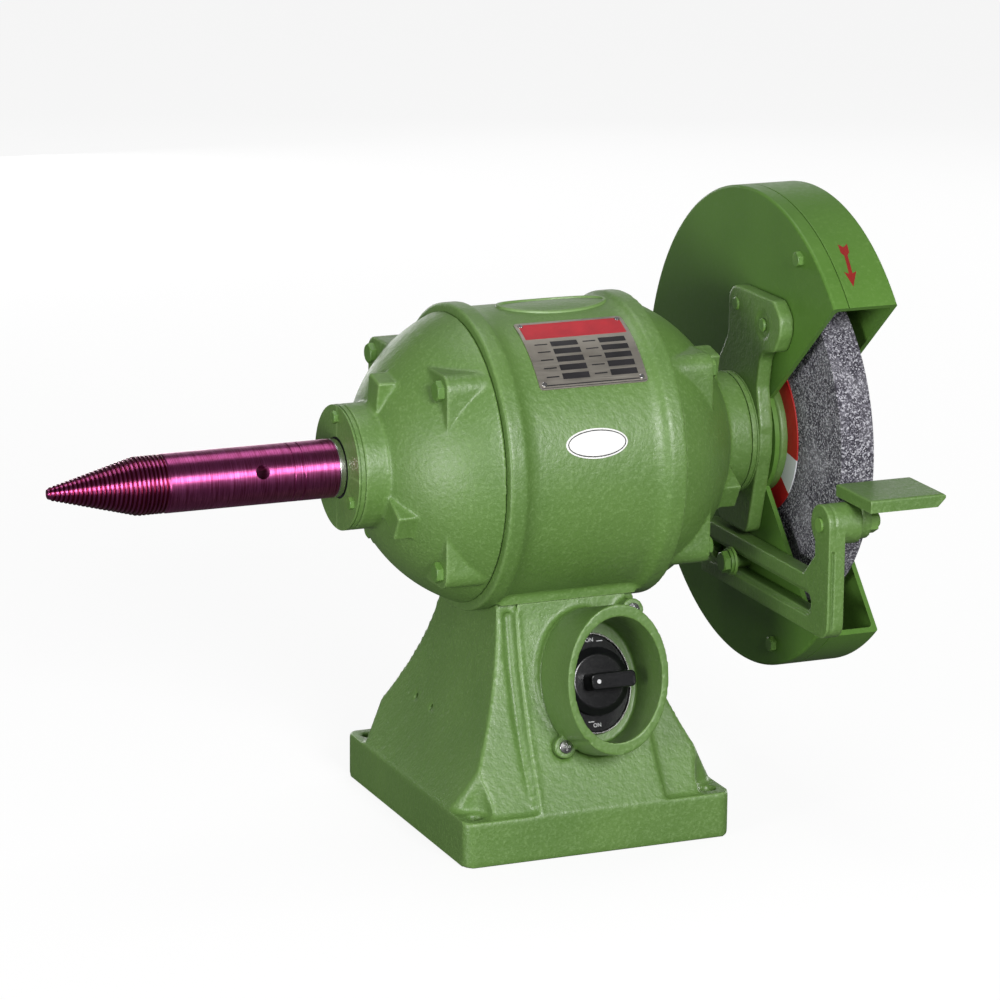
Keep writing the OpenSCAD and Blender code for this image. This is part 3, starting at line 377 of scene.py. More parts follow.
class Bench:
    """The workshop's tools, which work on an object and leave a plain mesh."""

    @staticmethod
    def apply(obj: bpy.types.Object) -> bpy.types.Object:
        """Turns what the modifiers give into the object's own mesh."""
        bpy.context.view_layer.update()
        graph = bpy.context.evaluated_depsgraph_get()
        data = bpy.data.meshes.new_from_object(obj.evaluated_get(graph))
        old = obj.data
        obj.modifiers.clear()
        obj.data = data
        bpy.data.meshes.remove(old)
        return obj

    @staticmethod
    def boolean(obj: bpy.types.Object, tool: bpy.types.Object, overlaps: bool = False) -> bpy.types.Object:
        """Cuts an object with another.

        Args:
            obj: The object to cut.
            tool: What is taken away; it is used up.
            overlaps: Whether the object's own forms cross.

        Returns:
            The object.
        """
        step = obj.modifiers.new("cut", "BOOLEAN")
        step.operation = "DIFFERENCE"
        step.solver = "EXACT"
        step.use_self = overlaps
        step.object = tool
        Bench.apply(obj)
        bpy.data.objects.remove(tool)
        return obj

    @staticmethod
    def bevel(obj: bpy.types.Object, width: float, segments: int = 2, angle: float = 40.0) -> bpy.types.Object:
        """Rounds the edges that are sharper than an angle.

        Args:
            obj: The object to work on.
            width: Width of the rounding in millimetres.
            segments: Steps in the rounding.
            angle: Least angle between two faces, in degrees.

        Returns:
            The object.
        """
        step = obj.modifiers.new("edge", "BEVEL")
        step.width = width * MM
        step.segments = segments
        step.limit_method = "ANGLE"
        step.angle_limit = math.radians(angle)
        step.use_clamp_overlap = True
        return Bench.apply(obj)

    @staticmethod
    def cast(obj: bpy.types.Object, voxel: float, smooth: int = 3) -> bpy.types.Object:
        """Melts overlapping forms into one casting with soft edges.

        Args:
            obj: Closed forms that may overlap.
            voxel: Size of the casting's grain in millimetres.
            smooth: How many times the surface is eased.

        Returns:
            The object.
        """
        step = obj.modifiers.new("melt", "REMESH")
        step.mode = "VOXEL"
        step.voxel_size = voxel * MM
        step.use_smooth_shade = True
        ease = obj.modifiers.new("ease", "SMOOTH")
        ease.factor = 0.5
        ease.iterations = smooth
        return Bench.apply(obj)

    @staticmethod
    def copy(node: str, name: str) -> bpy.types.Object:
        """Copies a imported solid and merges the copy's loose triangles.

        Args:
            node: The solid's name.
            name: The copy's name.

        Returns:
            The copy.
        """
        form = bmesh.new()
        form.from_mesh(bpy.data.objects[node].data)
        bmesh.ops.remove_doubles(form, verts=form.verts, dist=MERGE_WITHIN)
        return settled(form, name)

    @staticmethod
    def gather(objs: Sequence[bpy.types.Object], name: str) -> bpy.types.Object:
        """Puts several meshes into one object, without joining their surfaces.

        Args:
            objs: The objects, which are used up.
            name: The new object's name.

        Returns:
            The new object.
        """
        form = bmesh.new()
        for obj in objs:
            form.from_mesh(obj.data)
            bpy.data.objects.remove(obj)
        return settled(form, name)


class Recipe:
    """A material's node tree, with short calls that add and join its nodes."""

    def __init__(self, name: str) -> None:
        """Starts a material with only its output."""
        self.material = bpy.data.materials.new(name)
        self.material.use_nodes = True
        self.tree = self.material.node_tree
        self.tree.nodes.clear()
        self.output = self.tree.nodes.new("ShaderNodeOutputMaterial")
        self.place = self.node("TexCoord").outputs["Object"]

    def node(self, kind: str, inputs: dict[Any, Any] | None = None, **settings: Any) -> bpy.types.Node:
        """Adds a node.

        Args:
            kind: The node's type without its ShaderNode prefix.
            inputs: Values or sockets for its inputs, by name or number.
            **settings: The node's own settings.

        Returns:
            The new node.
        """
        return add_node(self.tree, "ShaderNode" + kind, inputs or {}, **settings)

    def noise(self, size: float, detail: float = 2.0, rough: float = 0.5, place: Socket | None = None) -> Socket:
        """Gives noise whose grains are about so many millimetres wide."""
        inputs = {"Vector": place or self.place, "Scale": 1000.0 / size, "Detail": detail, "Roughness": rough}
        return self.node("TexNoise", inputs).outputs[0]

    def ramp(self, value: Socket, low: float, high: float, out_low: float = 0.0, out_high: float = 1.0) -> Socket:
        """Maps a range onto another and clamps it."""
        inputs = {0: value, 1: low, 2: high, 3: out_low, 4: out_high}
        return self.node("MapRange", inputs, clamp=True).outputs[0]

    def math(self, operation: str, *values: Any) -> Socket:
        """Adds a math node on numbers or sockets."""
        return self.node("Math", dict(enumerate(values)), operation=operation).outputs[0]

    def mix(self, share: Any, first: Any, second: Any, blend: str = "MIX") -> Socket:
        """Mixes two colours, each a socket or a colour such as #5b7f42."""
        sides = [linear(c) if isinstance(c, str) else c for c in (first, second)]
        made = self.node("Mix", {0: share, 6: sides[0], 7: sides[1]}, data_type="RGBA", blend_type=blend)
        return made.outputs[2]

    def bump(self, height: Socket, depth: float, strength: float = 1.0, normal: Socket | None = None) -> Socket:
        """Raises the surface by a pattern.

        Args:
            height: The pattern.
            depth: How high it rises, in millimetres.
            strength: Share of its effect on the shading.
            normal: A surface that is already raised, to add to.

        Returns:
            The raised surface's normal.
        """
        inputs: dict[str, Any] = {"Height": height, "Distance": depth * MM, "Strength": strength}
        if normal:
            inputs["Normal"] = normal
        return self.node("Bump", inputs).outputs[0]

    def surface(self, **inputs: Any) -> bpy.types.Material:
        """Ends the recipe with its shader.

        Args:
            **inputs: The shader's inputs, with an underscore for each space.

        Returns:
            The material.
        """
        shader = self.node("BsdfPrincipled", {k.replace("_", " "): v for k, v in inputs.items()})
        self.tree.links.new(shader.outputs[0], self.output.inputs[0])
        return self.material


@dataclass(frozen=True)
class Enamel:
    """Glossy paint, sprayed thick over a rough sand casting or a sheet."""

    colour: str
    shade: str
    # The lighter green of the painted glints, and of the painted highlight over the edges.
    painted_glint: str
    grain: float = 2.2
    depth: float = 0.34
    orange_peel: float = 0.16
    roughness: float = 0.45
    sheen: float = 0.8
    # Share of the lighter green painted over the edges as a highlight.
    wear_and_painted_highlight: float = 0.45

    def material(self, name: str) -> bpy.types.Material:
        """Makes the paint: two grains of bump, uneven gloss, painted glints in lighter flecks and a painted highlight
        over the edges.
        """
        recipe = Recipe(name)
        coarse = recipe.noise(self.grain * 2.4, 2.0, 0.55)
        fine = recipe.noise(self.grain, 3.0, 0.6)
        cloud = recipe.noise(70.0, 2.0)
        tone = recipe.mix(recipe.ramp(cloud, 0.3, 0.7), self.shade, self.colour)
        # Scattered flecks of the lighter green: painted glints.
        grains = recipe.mix(recipe.ramp(fine, 0.52, 0.72, 0.0, 0.22), tone, self.painted_glint)
        # Lighter green over the sharpest edges, found by pointiness: a painted highlight.
        edge = recipe.ramp(recipe.node("NewGeometry").outputs["Pointiness"], 0.52, 0.60, 0.0, self.wear_and_painted_highlight)
        colour = recipe.mix(edge, grains, self.painted_glint)
        peel = recipe.bump(coarse, self.depth, 0.9)
        normal = recipe.bump(fine, self.orange_peel, 0.9, peel)
        gloss = recipe.ramp(fine, 0.3, 0.7, self.roughness - 0.06, self.roughness + 0.10)
        return recipe.surface(
            Base_Color=colour, Roughness=gloss, Normal=normal, Specular_IOR_Level=self.sheen
        )


@dataclass(frozen=True)
class Metal:
    """Bare metal, turned, drawn or ground, with fine tool marks along one direction."""

    colour: str
    stain: str
    roughness: float = 0.28
    stretch: Triple = (40.0, 1.0, 1.0)
    marks: float = 0.02

    def material(self, name: str) -> bpy.types.Material:
        """Makes the metal: fine lines round the work, and light staining."""
        recipe = Recipe(name)
        lined = recipe.node("Mapping", {"Vector": recipe.place, "Scale": self.stretch}).outputs[0]
        lines = recipe.noise(18.0, 3.0, 0.6, lined)
        cloud = recipe.noise(22.0, 3.0)
        colour = recipe.mix(recipe.ramp(cloud, 0.45, 0.75), self.colour, self.stain)
        gloss = recipe.ramp(lines, 0.3, 0.7, self.roughness - 0.05, self.roughness + 0.08)
        normal = recipe.bump(lines, self.marks, 0.6)
        return recipe.surface(Base_Color=colour, Roughness=gloss, Metallic=1.0, Normal=normal)


@dataclass(frozen=True)
class Anodised:
    """Dyed and polished metal: a dark dye under a clear hard skin."""

    colour: str
    deep: str
    roughness: float = 0.24

    def material(self, name: str) -> bpy.types.Material:
        """Makes the dyed skin with faint turning lines."""
        recipe = Recipe(name)
        lined = recipe.node("Mapping", {"Vector": recipe.place, "Scale": (30.0, 1.0, 1.0)}).outputs[0]
        lines = recipe.noise(14.0, 3.0, 0.55, lined)
        colour = recipe.mix(recipe.ramp(lines, 0.35, 0.65), self.deep, self.colour)
        normal = recipe.bump(lines, 0.012, 0.5)
        gloss = recipe.ramp(recipe.noise(9.0, 2.0), 0.3, 0.7, self.roughness - 0.03, self.roughness + 0.05)
        tangent = recipe.node("Tangent", direction_type="RADIAL", axis="X").outputs[0]
        return recipe.surface(
            Base_Color=colour, Roughness=gloss, Metallic=1.0, Normal=normal, Anisotropic=0.9,
            Anisotropic_Rotation=0.25, Tangent=tangent,
        )


@dataclass(frozen=True)
class Grit:
    """Bonded abrasive grain: light and dark grains of about a millimetre, proud of the bond."""

    light: str
    middle: str
    dark: str
    grain: float = 1.0

    def material(self, name: str) -> bpy.types.Material:
        """Makes the grains: each cell has its own tone, and the bond lies deeper."""
        recipe = Recipe(name)
        cells = recipe.node("TexVoronoi", {"Vector": recipe.place, "Scale": 1000.0 / self.grain})
        tone = recipe.node("SeparateColor", {0: cells.outputs["Color"]}).outputs[0]
        speck = recipe.mix(recipe.ramp(tone, 0.35, 0.62), self.dark, self.middle)
        colour = recipe.mix(recipe.ramp(tone, 0.70, 0.92), speck, self.light)
        wear_and_painted_highlight = recipe.mix(recipe.ramp(recipe.noise(28.0, 2.0), 0.45, 0.7, 0.0, 0.25), colour, self.light)
        height = recipe.math("SUBTRACT", recipe.ramp(tone, 0.0, 1.0), cells.outputs["Distance"])
        normal = recipe.bump(height, 0.45, 0.8)
        return recipe.surface(Base_Color=wear_and_painted_highlight, Roughness=0.86, Normal=normal, Specular_IOR_Level=0.25)


@dataclass(frozen=True)
class Moulded:
    """Moulded plastic, rubber or varnish in one colour, with a fine skin."""

    colour: str
    shade: str
    roughness: float = 0.3
    grain: float = 0.8
    depth: float = 0.01

    def material(self, name: str) -> bpy.types.Material:
        """Makes the skin with faint flow marks."""
        recipe = Recipe(name)
        cloud = recipe.noise(15.0, 2.0)
        fine = recipe.noise(self.grain, 2.0)
        colour = recipe.mix(recipe.ramp(cloud, 0.35, 0.65), self.colour, self.shade)
        gloss = recipe.ramp(fine, 0.3, 0.7, self.roughness - 0.04, self.roughness + 0.06)
        return recipe.surface(Base_Color=colour, Roughness=gloss, Normal=recipe.bump(fine, self.depth, 0.7))


@dataclass(frozen=True)
class Paper:
    """A printed paper ring: red, with one white field between two angles about the shaft."""

    colour: str
    white: str
    low: float
    high: float

    def material(self, name: str) -> bpy.types.Material:
        """Makes the print from the angle about the shaft, over fibres and light creases."""
        recipe = Recipe(name)
        parts = recipe.node("SeparateXYZ", {0: recipe.place})
        up = recipe.math("SUBTRACT", parts.outputs[2], SHAFT_H * MM)
        front = recipe.math("MULTIPLY", parts.outputs[1], -1.0)
        angle = recipe.math("DEGREES", recipe.math("ARCTAN2", up, front))
        above = recipe.math("GREATER_THAN", angle, self.low)
        field = recipe.math("MULTIPLY", above, recipe.math("LESS_THAN", angle, self.high))
        fibre = recipe.noise(0.9, 3.0)
        tone = recipe.mix(recipe.ramp(recipe.noise(12.0, 2.0), 0.3, 0.7, 0.0, 0.25), self.colour, "#7c1614")
        colour = recipe.mix(field, tone, self.white)
        return recipe.surface(Base_Color=colour, Roughness=0.55, Normal=recipe.bump(fibre, 0.03, 0.7))


@dataclass(frozen=True)
class Layered:
    """Stacked laminations or wound wire: fine lines across the shaft."""

    colour: str
    line: str
    pitch: float
    metallic: float
    roughness: float

    def material(self, name: str) -> bpy.types.Material:
        """Makes the stack: a sharp line at each layer."""
        recipe = Recipe(name)
        along = recipe.node("SeparateXYZ", {0: recipe.place}).outputs[0]
        share = recipe.math("FRACT", recipe.math("MULTIPLY", along, 1000.0 / self.pitch))
        seam = recipe.math("ABSOLUTE", recipe.math("SUBTRACT", share, 0.5))
        colour = recipe.mix(recipe.ramp(seam, 0.3, 0.5), self.colour, self.line)
        stained = recipe.mix(recipe.ramp(recipe.noise(9.0, 3.0), 0.4, 0.8, 0.0, 0.5), colour, self.line)
        normal = recipe.bump(recipe.ramp(seam, 0.5, 0.3), 0.2, 0.8)
        return recipe.surface(Base_Color=stained, Roughness=self.roughness, Metallic=self.metallic, Normal=normal)


class Finish(Enum):
    """Every finish on the machine, with the record's material slot that it belongs to."""

    GREEN_CAST = ("green_enamel", Enamel("#5b7c3a", "#537434", "#8fb06e", 2.2, 0.5, 0.26))
    GREEN_SHEET = ("green_enamel", Enamel("#547b30", "#4d732b", "#6f9448", 3.0, 0.06, 0.03, 0.46, 0.4, 0.0))
    GREEN_BOLT = ("green_bolt", Enamel("#567c34", "#4f752e", "#7aa050", 1.6, 0.08, 0.05, 0.40))
    STEEL = ("bright_steel", Metal("#c4c4c6", "#9c9a98"))
    TURNED = ("bright_steel", Metal("#d2d0d0", "#a9a5a4", 0.22))
    PURPLE = ("purple_anodised", Anodised("#c0609c", "#8c3460", 0.40))
    # THREAD is a darker copy of the spindle's purple: painted shade of the thread's grooves.
    THREAD = ("purple_anodised", Anodised("#7a1c38", "#561428", 0.33))
    GRIT = ("abrasive", Grit("#b0afb6", "#716f78", "#3a3840"))
    RED_PAPER = ("red_paper", Paper("#c01c1e", "#dfe0e6", -38.0, -10.0))
    PLATE = ("plate_silver", Metal("#b9b3a9", "#a39c92", 0.42, (1.0, 14.0, 14.0), 0.01))
    PRINT_BLACK = ("plate_silver", Moulded("#1b1a1c", "#242225", 0.42))
    PRINT_RED = ("plate_silver", Moulded("#b0252f", "#9d1f2a", 0.42))
    PRINT_WHITE = ("black_plastic", Moulded("#dadada", "#c9c9cb", 0.45))
    ARROW_RED = ("green_enamel", Moulded("#8e1f1a", "#7c1a16", 0.42))
    BADGE = ("badge_white", Moulded("#e6e6e4", "#dcdcda", 0.25))
    BADGE_EDGE = ("badge_white", Moulded("#2b2b2a", "#1f1f1f", 0.35))
    BLACK = ("black_plastic", Moulded("#0f0f11", "#161618", 0.2, 0.8, 0.004))
    BEIGE = ("beige_plastic", Moulded("#cfc8b4", "#c0b8a2", 0.45))
    CORE = ("core_steel", Layered("#77777c", "#3c3c40", 1.0, 0.9, 0.45))
    ROTOR_METAL = ("rotor_aluminium", Metal("#c9c9cc", "#a4a4a8", 0.4, (1.0, 1.0, 1.0), 0.05))
    COPPER = ("copper_winding", Layered("#a4551e", "#4d240c", 1.4, 0.6, 0.35))
    BRASS = ("brass_stud", Metal("#c49a48", "#97742f", 0.3, (1.0, 30.0, 1.0)))
    RUBBER = ("black_rubber", Moulded("#17171a", "#0e0e10", 0.7, 0.7, 0.02))


class Dresser:
    """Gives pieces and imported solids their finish, and seats pieces on their bodies."""

    def __init__(self) -> None:
        """Starts with an empty shelf of materials."""
        self.shelf: dict[Finish, bpy.types.Material] = {}

    def material(self, finish: Finish) -> bpy.types.Material:
        """Gives the material of a finish, made once."""
        if finish not in self.shelf:
            self.shelf[finish] = finish.value[1].material("finish_" + finish.name.lower())
        return self.shelf[finish]

    def paint(self, obj: bpy.types.Object, finish: Finish) -> None:
        """Puts one finish all over an object."""
        obj.data.materials.clear()
        obj.data.materials.append(self.material(finish))
        for face in obj.data.polygons:
            face.material_index = 0

    def nodes(self, finish: Finish, *names: str) -> None:
        """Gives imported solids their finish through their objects' own material slots."""
        for name in names:
            obj = bpy.data.objects[name]
            if not obj.material_slots:
                obj.data.materials.append(None)
            for holder in obj.material_slots:
                holder.link = "OBJECT"
                holder.material = self.material(finish)

    def seat(
        self,
        obj: bpy.types.Object,
        body: Body,
        finish: Finish | None,
        *replaced: str,
        sharp: float = 35.0,
    ) -> bpy.types.Object:
        """Ends a piece: shading, finish, body and the solids that it stands for.

        Args:
            obj: The piece.
            body: The body that it rides on.
            finish: Its finish, or None where its faces already have theirs.
            *replaced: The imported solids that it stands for.
            sharp: Angle from which an edge stays sharp in the shading.

        Returns:
            The piece.
        """
        if finish:
            self.paint(obj, finish)
        obj.data.shade_smooth()
        obj.data.set_sharp_from_angle(angle=math.radians(sharp))
        if len(obj.data.polygons) < 30000:
            step = obj.modifiers.new("even", "WEIGHTED_NORMAL")
            step.keep_sharp = True
            Bench.apply(obj)
        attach(obj, body.value)
        if replaced:
            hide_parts(*replaced)
        LOG.info("%s: %d faces on %s", obj.name, len(obj.data.polygons), body.value)
        return obj


class Tree:
    """A Geometry Nodes tree in the making, with named inputs."""

    def __init__(self, name: str) -> None:
        """Starts a tree with a mesh going in and a mesh coming out."""
        self.group = bpy.data.node_groups.new(name, "GeometryNodeTree")
        self.group.interface.new_socket("Geometry", in_out="INPUT", socket_type="NodeSocketGeometry")
        self.group.interface.new_socket("Geometry", in_out="OUTPUT", socket_type="NodeSocketGeometry")
        self.start = self.group.nodes.new("NodeGroupInput")
        self.end = self.group.nodes.new("NodeGroupOutput")

    def value(self, name: str, kind: str = "Float") -> None:
        """Adds a named input."""
        self.group.interface.new_socket(name, in_out="INPUT", socket_type="NodeSocket" + kind)

    def given(self, name: str) -> Socket:
        """Gives the socket of a named input."""
        return self.start.outputs[name]

    def node(self, kind: str, inputs: dict[Any, Any] | None = None, **settings: Any) -> bpy.types.Node:
        """Adds a node by its full type, with values or sockets for its inputs."""
        return add_node(self.group, kind, inputs or {}, **settings)

    def sum(self, operation: str, *values: Any) -> Socket:
        """Adds a math node on numbers or sockets."""
        return self.node("ShaderNodeMath", dict(enumerate(values)), operation=operation).outputs[0]

    def bar(self, sides: Any, radius: Socket, depth: Socket, rise: float) -> Socket:
        """Makes a straight bar along Z.

        Args:
            sides: Number of its sides.
            radius: Its radius.
            depth: Its length.
            rise: Height of its middle over the seat, as a share of its length.

        Returns:
            The bar's mesh.
        """
        inputs = {"Vertices": sides, "Radius": radius, "Depth": depth}
        mesh = self.node("GeometryNodeMeshCylinder", inputs).outputs["Mesh"]
        shift = self.node("ShaderNodeCombineXYZ", {2: self.sum("MULTIPLY", depth, rise)}).outputs[0]
        return self.node("GeometryNodeTransform", {0: mesh, "Translation": shift}).outputs[0]

    def finish(self, geometry: Socket) -> bpy.types.GeometryNodeTree:
        """Ends the tree: instances are made real and get the material that is given."""
        real = self.node("GeometryNodeRealizeInstances", {0: geometry}).outputs[0]
        painted = self.node("GeometryNodeSetMaterial", {0: real, "Material": self.given("Material")}).outputs[0]
        self.group.links.new(painted, self.end.inputs[0])
        return self.group

    @staticmethod
    def grow(obj: bpy.types.Object, group: bpy.types.GeometryNodeTree, values: dict[str, Any]) -> bpy.types.Object:
        """Runs a tree on an object and keeps the result as its plain mesh.

        Args:
            obj: The object whose mesh goes in.
            group: The tree.
            values: Values of the named inputs.

        Returns:
            The object.
        """
        step = obj.modifiers.new("grow", "NODES")
        step.node_group = group
        for item in group.interface.items_tree:
            if item.item_type == "SOCKET" and item.in_out == "INPUT" and item.name in values:
                step[item.identifier] = values[item.name]
        return Bench.apply(obj)


class Fasteners:
    """Hexagon and round headed screws, set on points by one Geometry Nodes tree."""

    FLATS_PER_RADIUS = 1.7320508
    FACE_SHARE = 0.46
    CHAMFER_SLOPE = 1.3
    ROUND_SIDES = 48
    SHANK_SIDES = 24

    def __init__(self, dresser: Dresser) -> None:
        """Builds the tree once for all screws."""
        self.dresser = dresser
        tree = Tree("fasteners")
        for name in ("Across flats", "Head height", "Shank radius", "Shank length", "Flange radius", "Flange height"):
            tree.value(name)
        tree.value("Sides", "Int")
        tree.value("Material", "Material")
        given = tree.given
        flats, height = given("Across flats"), given("Head height")
        head = tree.bar(given("Sides"), tree.sum("DIVIDE", flats, self.FLATS_PER_RADIUS), height, 0.5)
        top = tree.sum("MULTIPLY", flats, self.FACE_SHARE)
        wide = tree.sum("ADD", top, tree.sum("MULTIPLY", height, self.CHAMFER_SLOPE))
        taper = {"Vertices": self.ROUND_SIDES, "Radius Top": top, "Radius Bottom": wide, "Depth": height}
        cone = tree.node("GeometryNodeMeshCone", taper).outputs["Mesh"]
        step = {"operation": "INTERSECT", "solver": "EXACT"}
        chamfered = tree.node("GeometryNodeMeshBoolean", {"Mesh 2": [head, cone]}, **step).outputs[0]
        shank = tree.bar(self.SHANK_SIDES, given("Shank radius"), given("Shank length"), -0.5)
        flange = tree.bar(self.ROUND_SIDES, given("Flange radius"), given("Flange height"), 0.5)
        screw = tree.node("GeometryNodeJoinGeometry", {0: [chamfered, shank, flange]}).outputs[0]
        axis = tree.node("GeometryNodeInputNamedAttribute", {"Name": "axis"}, data_type="FLOAT_VECTOR").outputs[0]
        turn = tree.node("FunctionNodeAlignRotationToVector", {"Vector": axis}, axis="Z").outputs[0]
        copies = {"Points": given("Geometry"), "Instance": screw, "Rotation": turn}
        self.group = tree.finish(tree.node("GeometryNodeInstanceOnPoints", copies).outputs[0])

    def set_on(
        self,
        name: str,
        places: Sequence[tuple[Vector, Vector]],
        finish: Finish,
        body: Body,
        *replaced: str,
        flats: float,
        head: float,
        shank: float,
        length: float,
        sides: int = 6,
        flange: Pair = (0.0, 0.0),
        edge: float = 0.35,
    ) -> bpy.types.Object:
        """Sets one kind of screw on its places.

        Args:
            name: The piece's name.
            places: For each screw, the middle of its seat and the way that its head points.
            finish: Its finish.
            body: The body that it rides on.
            *replaced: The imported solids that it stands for.
            flats: Width across the head's flats.
            head: Height of the head.
            shank: Radius of the shank.
            length: Length of the shank below the seat.
            sides: Number of the head's sides.
            flange: Radius and height of a flange under the head.
            edge: Rounding of the edges.

        Returns:
            The piece.
        """
        data = bpy.data.meshes.new(name)
        data.from_pydata([tuple(p * MM) for p, _ in places], [], [])
        marks = data.attributes.new("axis", "FLOAT_VECTOR", "POINT")
        for mark, (_, way) in zip(marks.data, places):
            mark.vector = way
        obj = placed(name, data)
        lengths = {
            "Across flats": flats, "Head height": head, "Shank radius": shank, "Shank length": length,
            "Flange radius": flange[0], "Flange height": flange[1],
        }
        values: dict[str, Any] = {key: size * MM for key, size in lengths.items()}
        values.update({"Sides": sides, "Material": self.dresser.material(finish)})
        Tree.grow(obj, self.group, values)
        Bench.bevel(obj, edge, 2, 25.0)
        return self.dresser.seat(obj, body, finish, *replaced)


@dataclass
class Unit:
    """A sub-assembly, with the tools that every one of them is handed."""

    dresser: Dresser
    fasteners: Fasteners


@dataclass
class Pedestal(Unit):
    """The hollow cast pedestal with what is fixed in it."""

    voxel: float = 1.8
    bead_r: float = 2.0
    bead_sink: float = 0.9
    bead_low: float = 34.0
    bead_step: float = 4.0
    panel_x: float = 3.0
    panel_half: Pair = (48.0, 42.0)
    panel_inset: float = 1.2
    front_y: float = 54.0
    flare: float = 61.5
    flare_power: float = 1.4
    channel_gap: float = 6.2
    channel_r: Pair = (1.2, 2.4)
    channel_run: float = 60.0
    base_h: float = 32.5
    column_h: float = 168.0
    pocket: Pair = (95.5, 106.6)
    pocket_r: float = 17.0
    side_holes: tuple[Pair, Pair] = ((43.0, 77.0), (14.0, 77.0))
    side_hole_r: float = 2.2

    def edge(self, z: float) -> Vector:
        """Finds a point on the left edge of the front panel.

        Args:
            z: Its height.

        Returns:
            The point, a little inside the skin.
        """
        t = (z - self.base_h) / (self.column_h - self.base_h)
        half = self.panel_half[0] + (self.panel_half[1] - self.panel_half[0]) * t
        y = -(self.front_y + self.flare * (1 - t) ** self.flare_power) + self.bead_sink
        return Vector((self.panel_x - half + self.panel_inset, y, z))

    def skin(self, casting: bpy.types.Object, x: float, z: float) -> Vector:
        """Finds the casting's front skin at a place and height, in millimetres."""
        found, place, _, _ = casting.ray_cast(Vector((x, -400, z)) * MM, Vector((0, 1, 0)))
        return place / MM if found else Vector((x, 0, z))

    @staticmethod
    def tube(stations: Sequence[tuple[Vector, float]]) -> Form:
        """Makes a closed round bar.

        Args:
            stations: Places that it runs through, each with the bar's radius there.

        Returns:
            The bar as a form.
        """
        sections = []
        for place, radius in stations:
            sections.append([(place.x + a, place.y + b, place.z) for a, b in oval(radius, radius, 16)])
        return Form().loft(sections, Matrix())

    def build(self) -> None:
        """Builds the casting and dresses the parts inside it."""
        casting = Bench.copy("pedestal", "pedestal_casting")
        bpy.context.view_layer.update()
        levels = [self.bead_low + self.bead_step * k for k in range(33)]
        seen = [self.skin(casting, self.edge(z).x - self.channel_gap, z) for z in levels]
        least, more = self.channel_r
        channel = [(p, least + more * min(1.0, (p.z - self.bead_low) / self.channel_run)) for p in seen]
        Bench.boolean(casting, self.tube(channel[2:]).piece("channel"))
        for sx, sy in QUARTERS:
            start = Vector((sx * self.pocket[0], sy * self.pocket[1], self.base_h + 0.02))
            pocket = Form().rod(start, start + Vector((0, 0, 60)), self.pocket_r, 64)
            Bench.boolean(casting, pocket.piece("pocket"))
        bead = self.tube([(self.edge(z), self.bead_r) for z in levels])
        whole = Bench.gather([casting, bead.piece("bead")], "pedestal_casting_body")
        casting = Bench.cast(whole, self.voxel, 2)
        holes = Form()
        for y, z in self.side_holes:
            holes.rod(Vector((-100, y, z)), Vector((0, y, z)), self.side_hole_r, 24)
        Bench.boolean(casting, holes.piece("holes"))
        self.dresser.seat(casting, Body.MACHINE, Finish.GREEN_CAST, "pedestal", sharp=60.0)
        self.dresser.nodes(Finish.STEEL, "motor_mount_bolts")
        self.dresser.nodes(Finish.BLACK, "cable_gland")
        self.dresser.nodes(Finish.BRASS, "earth_stud")


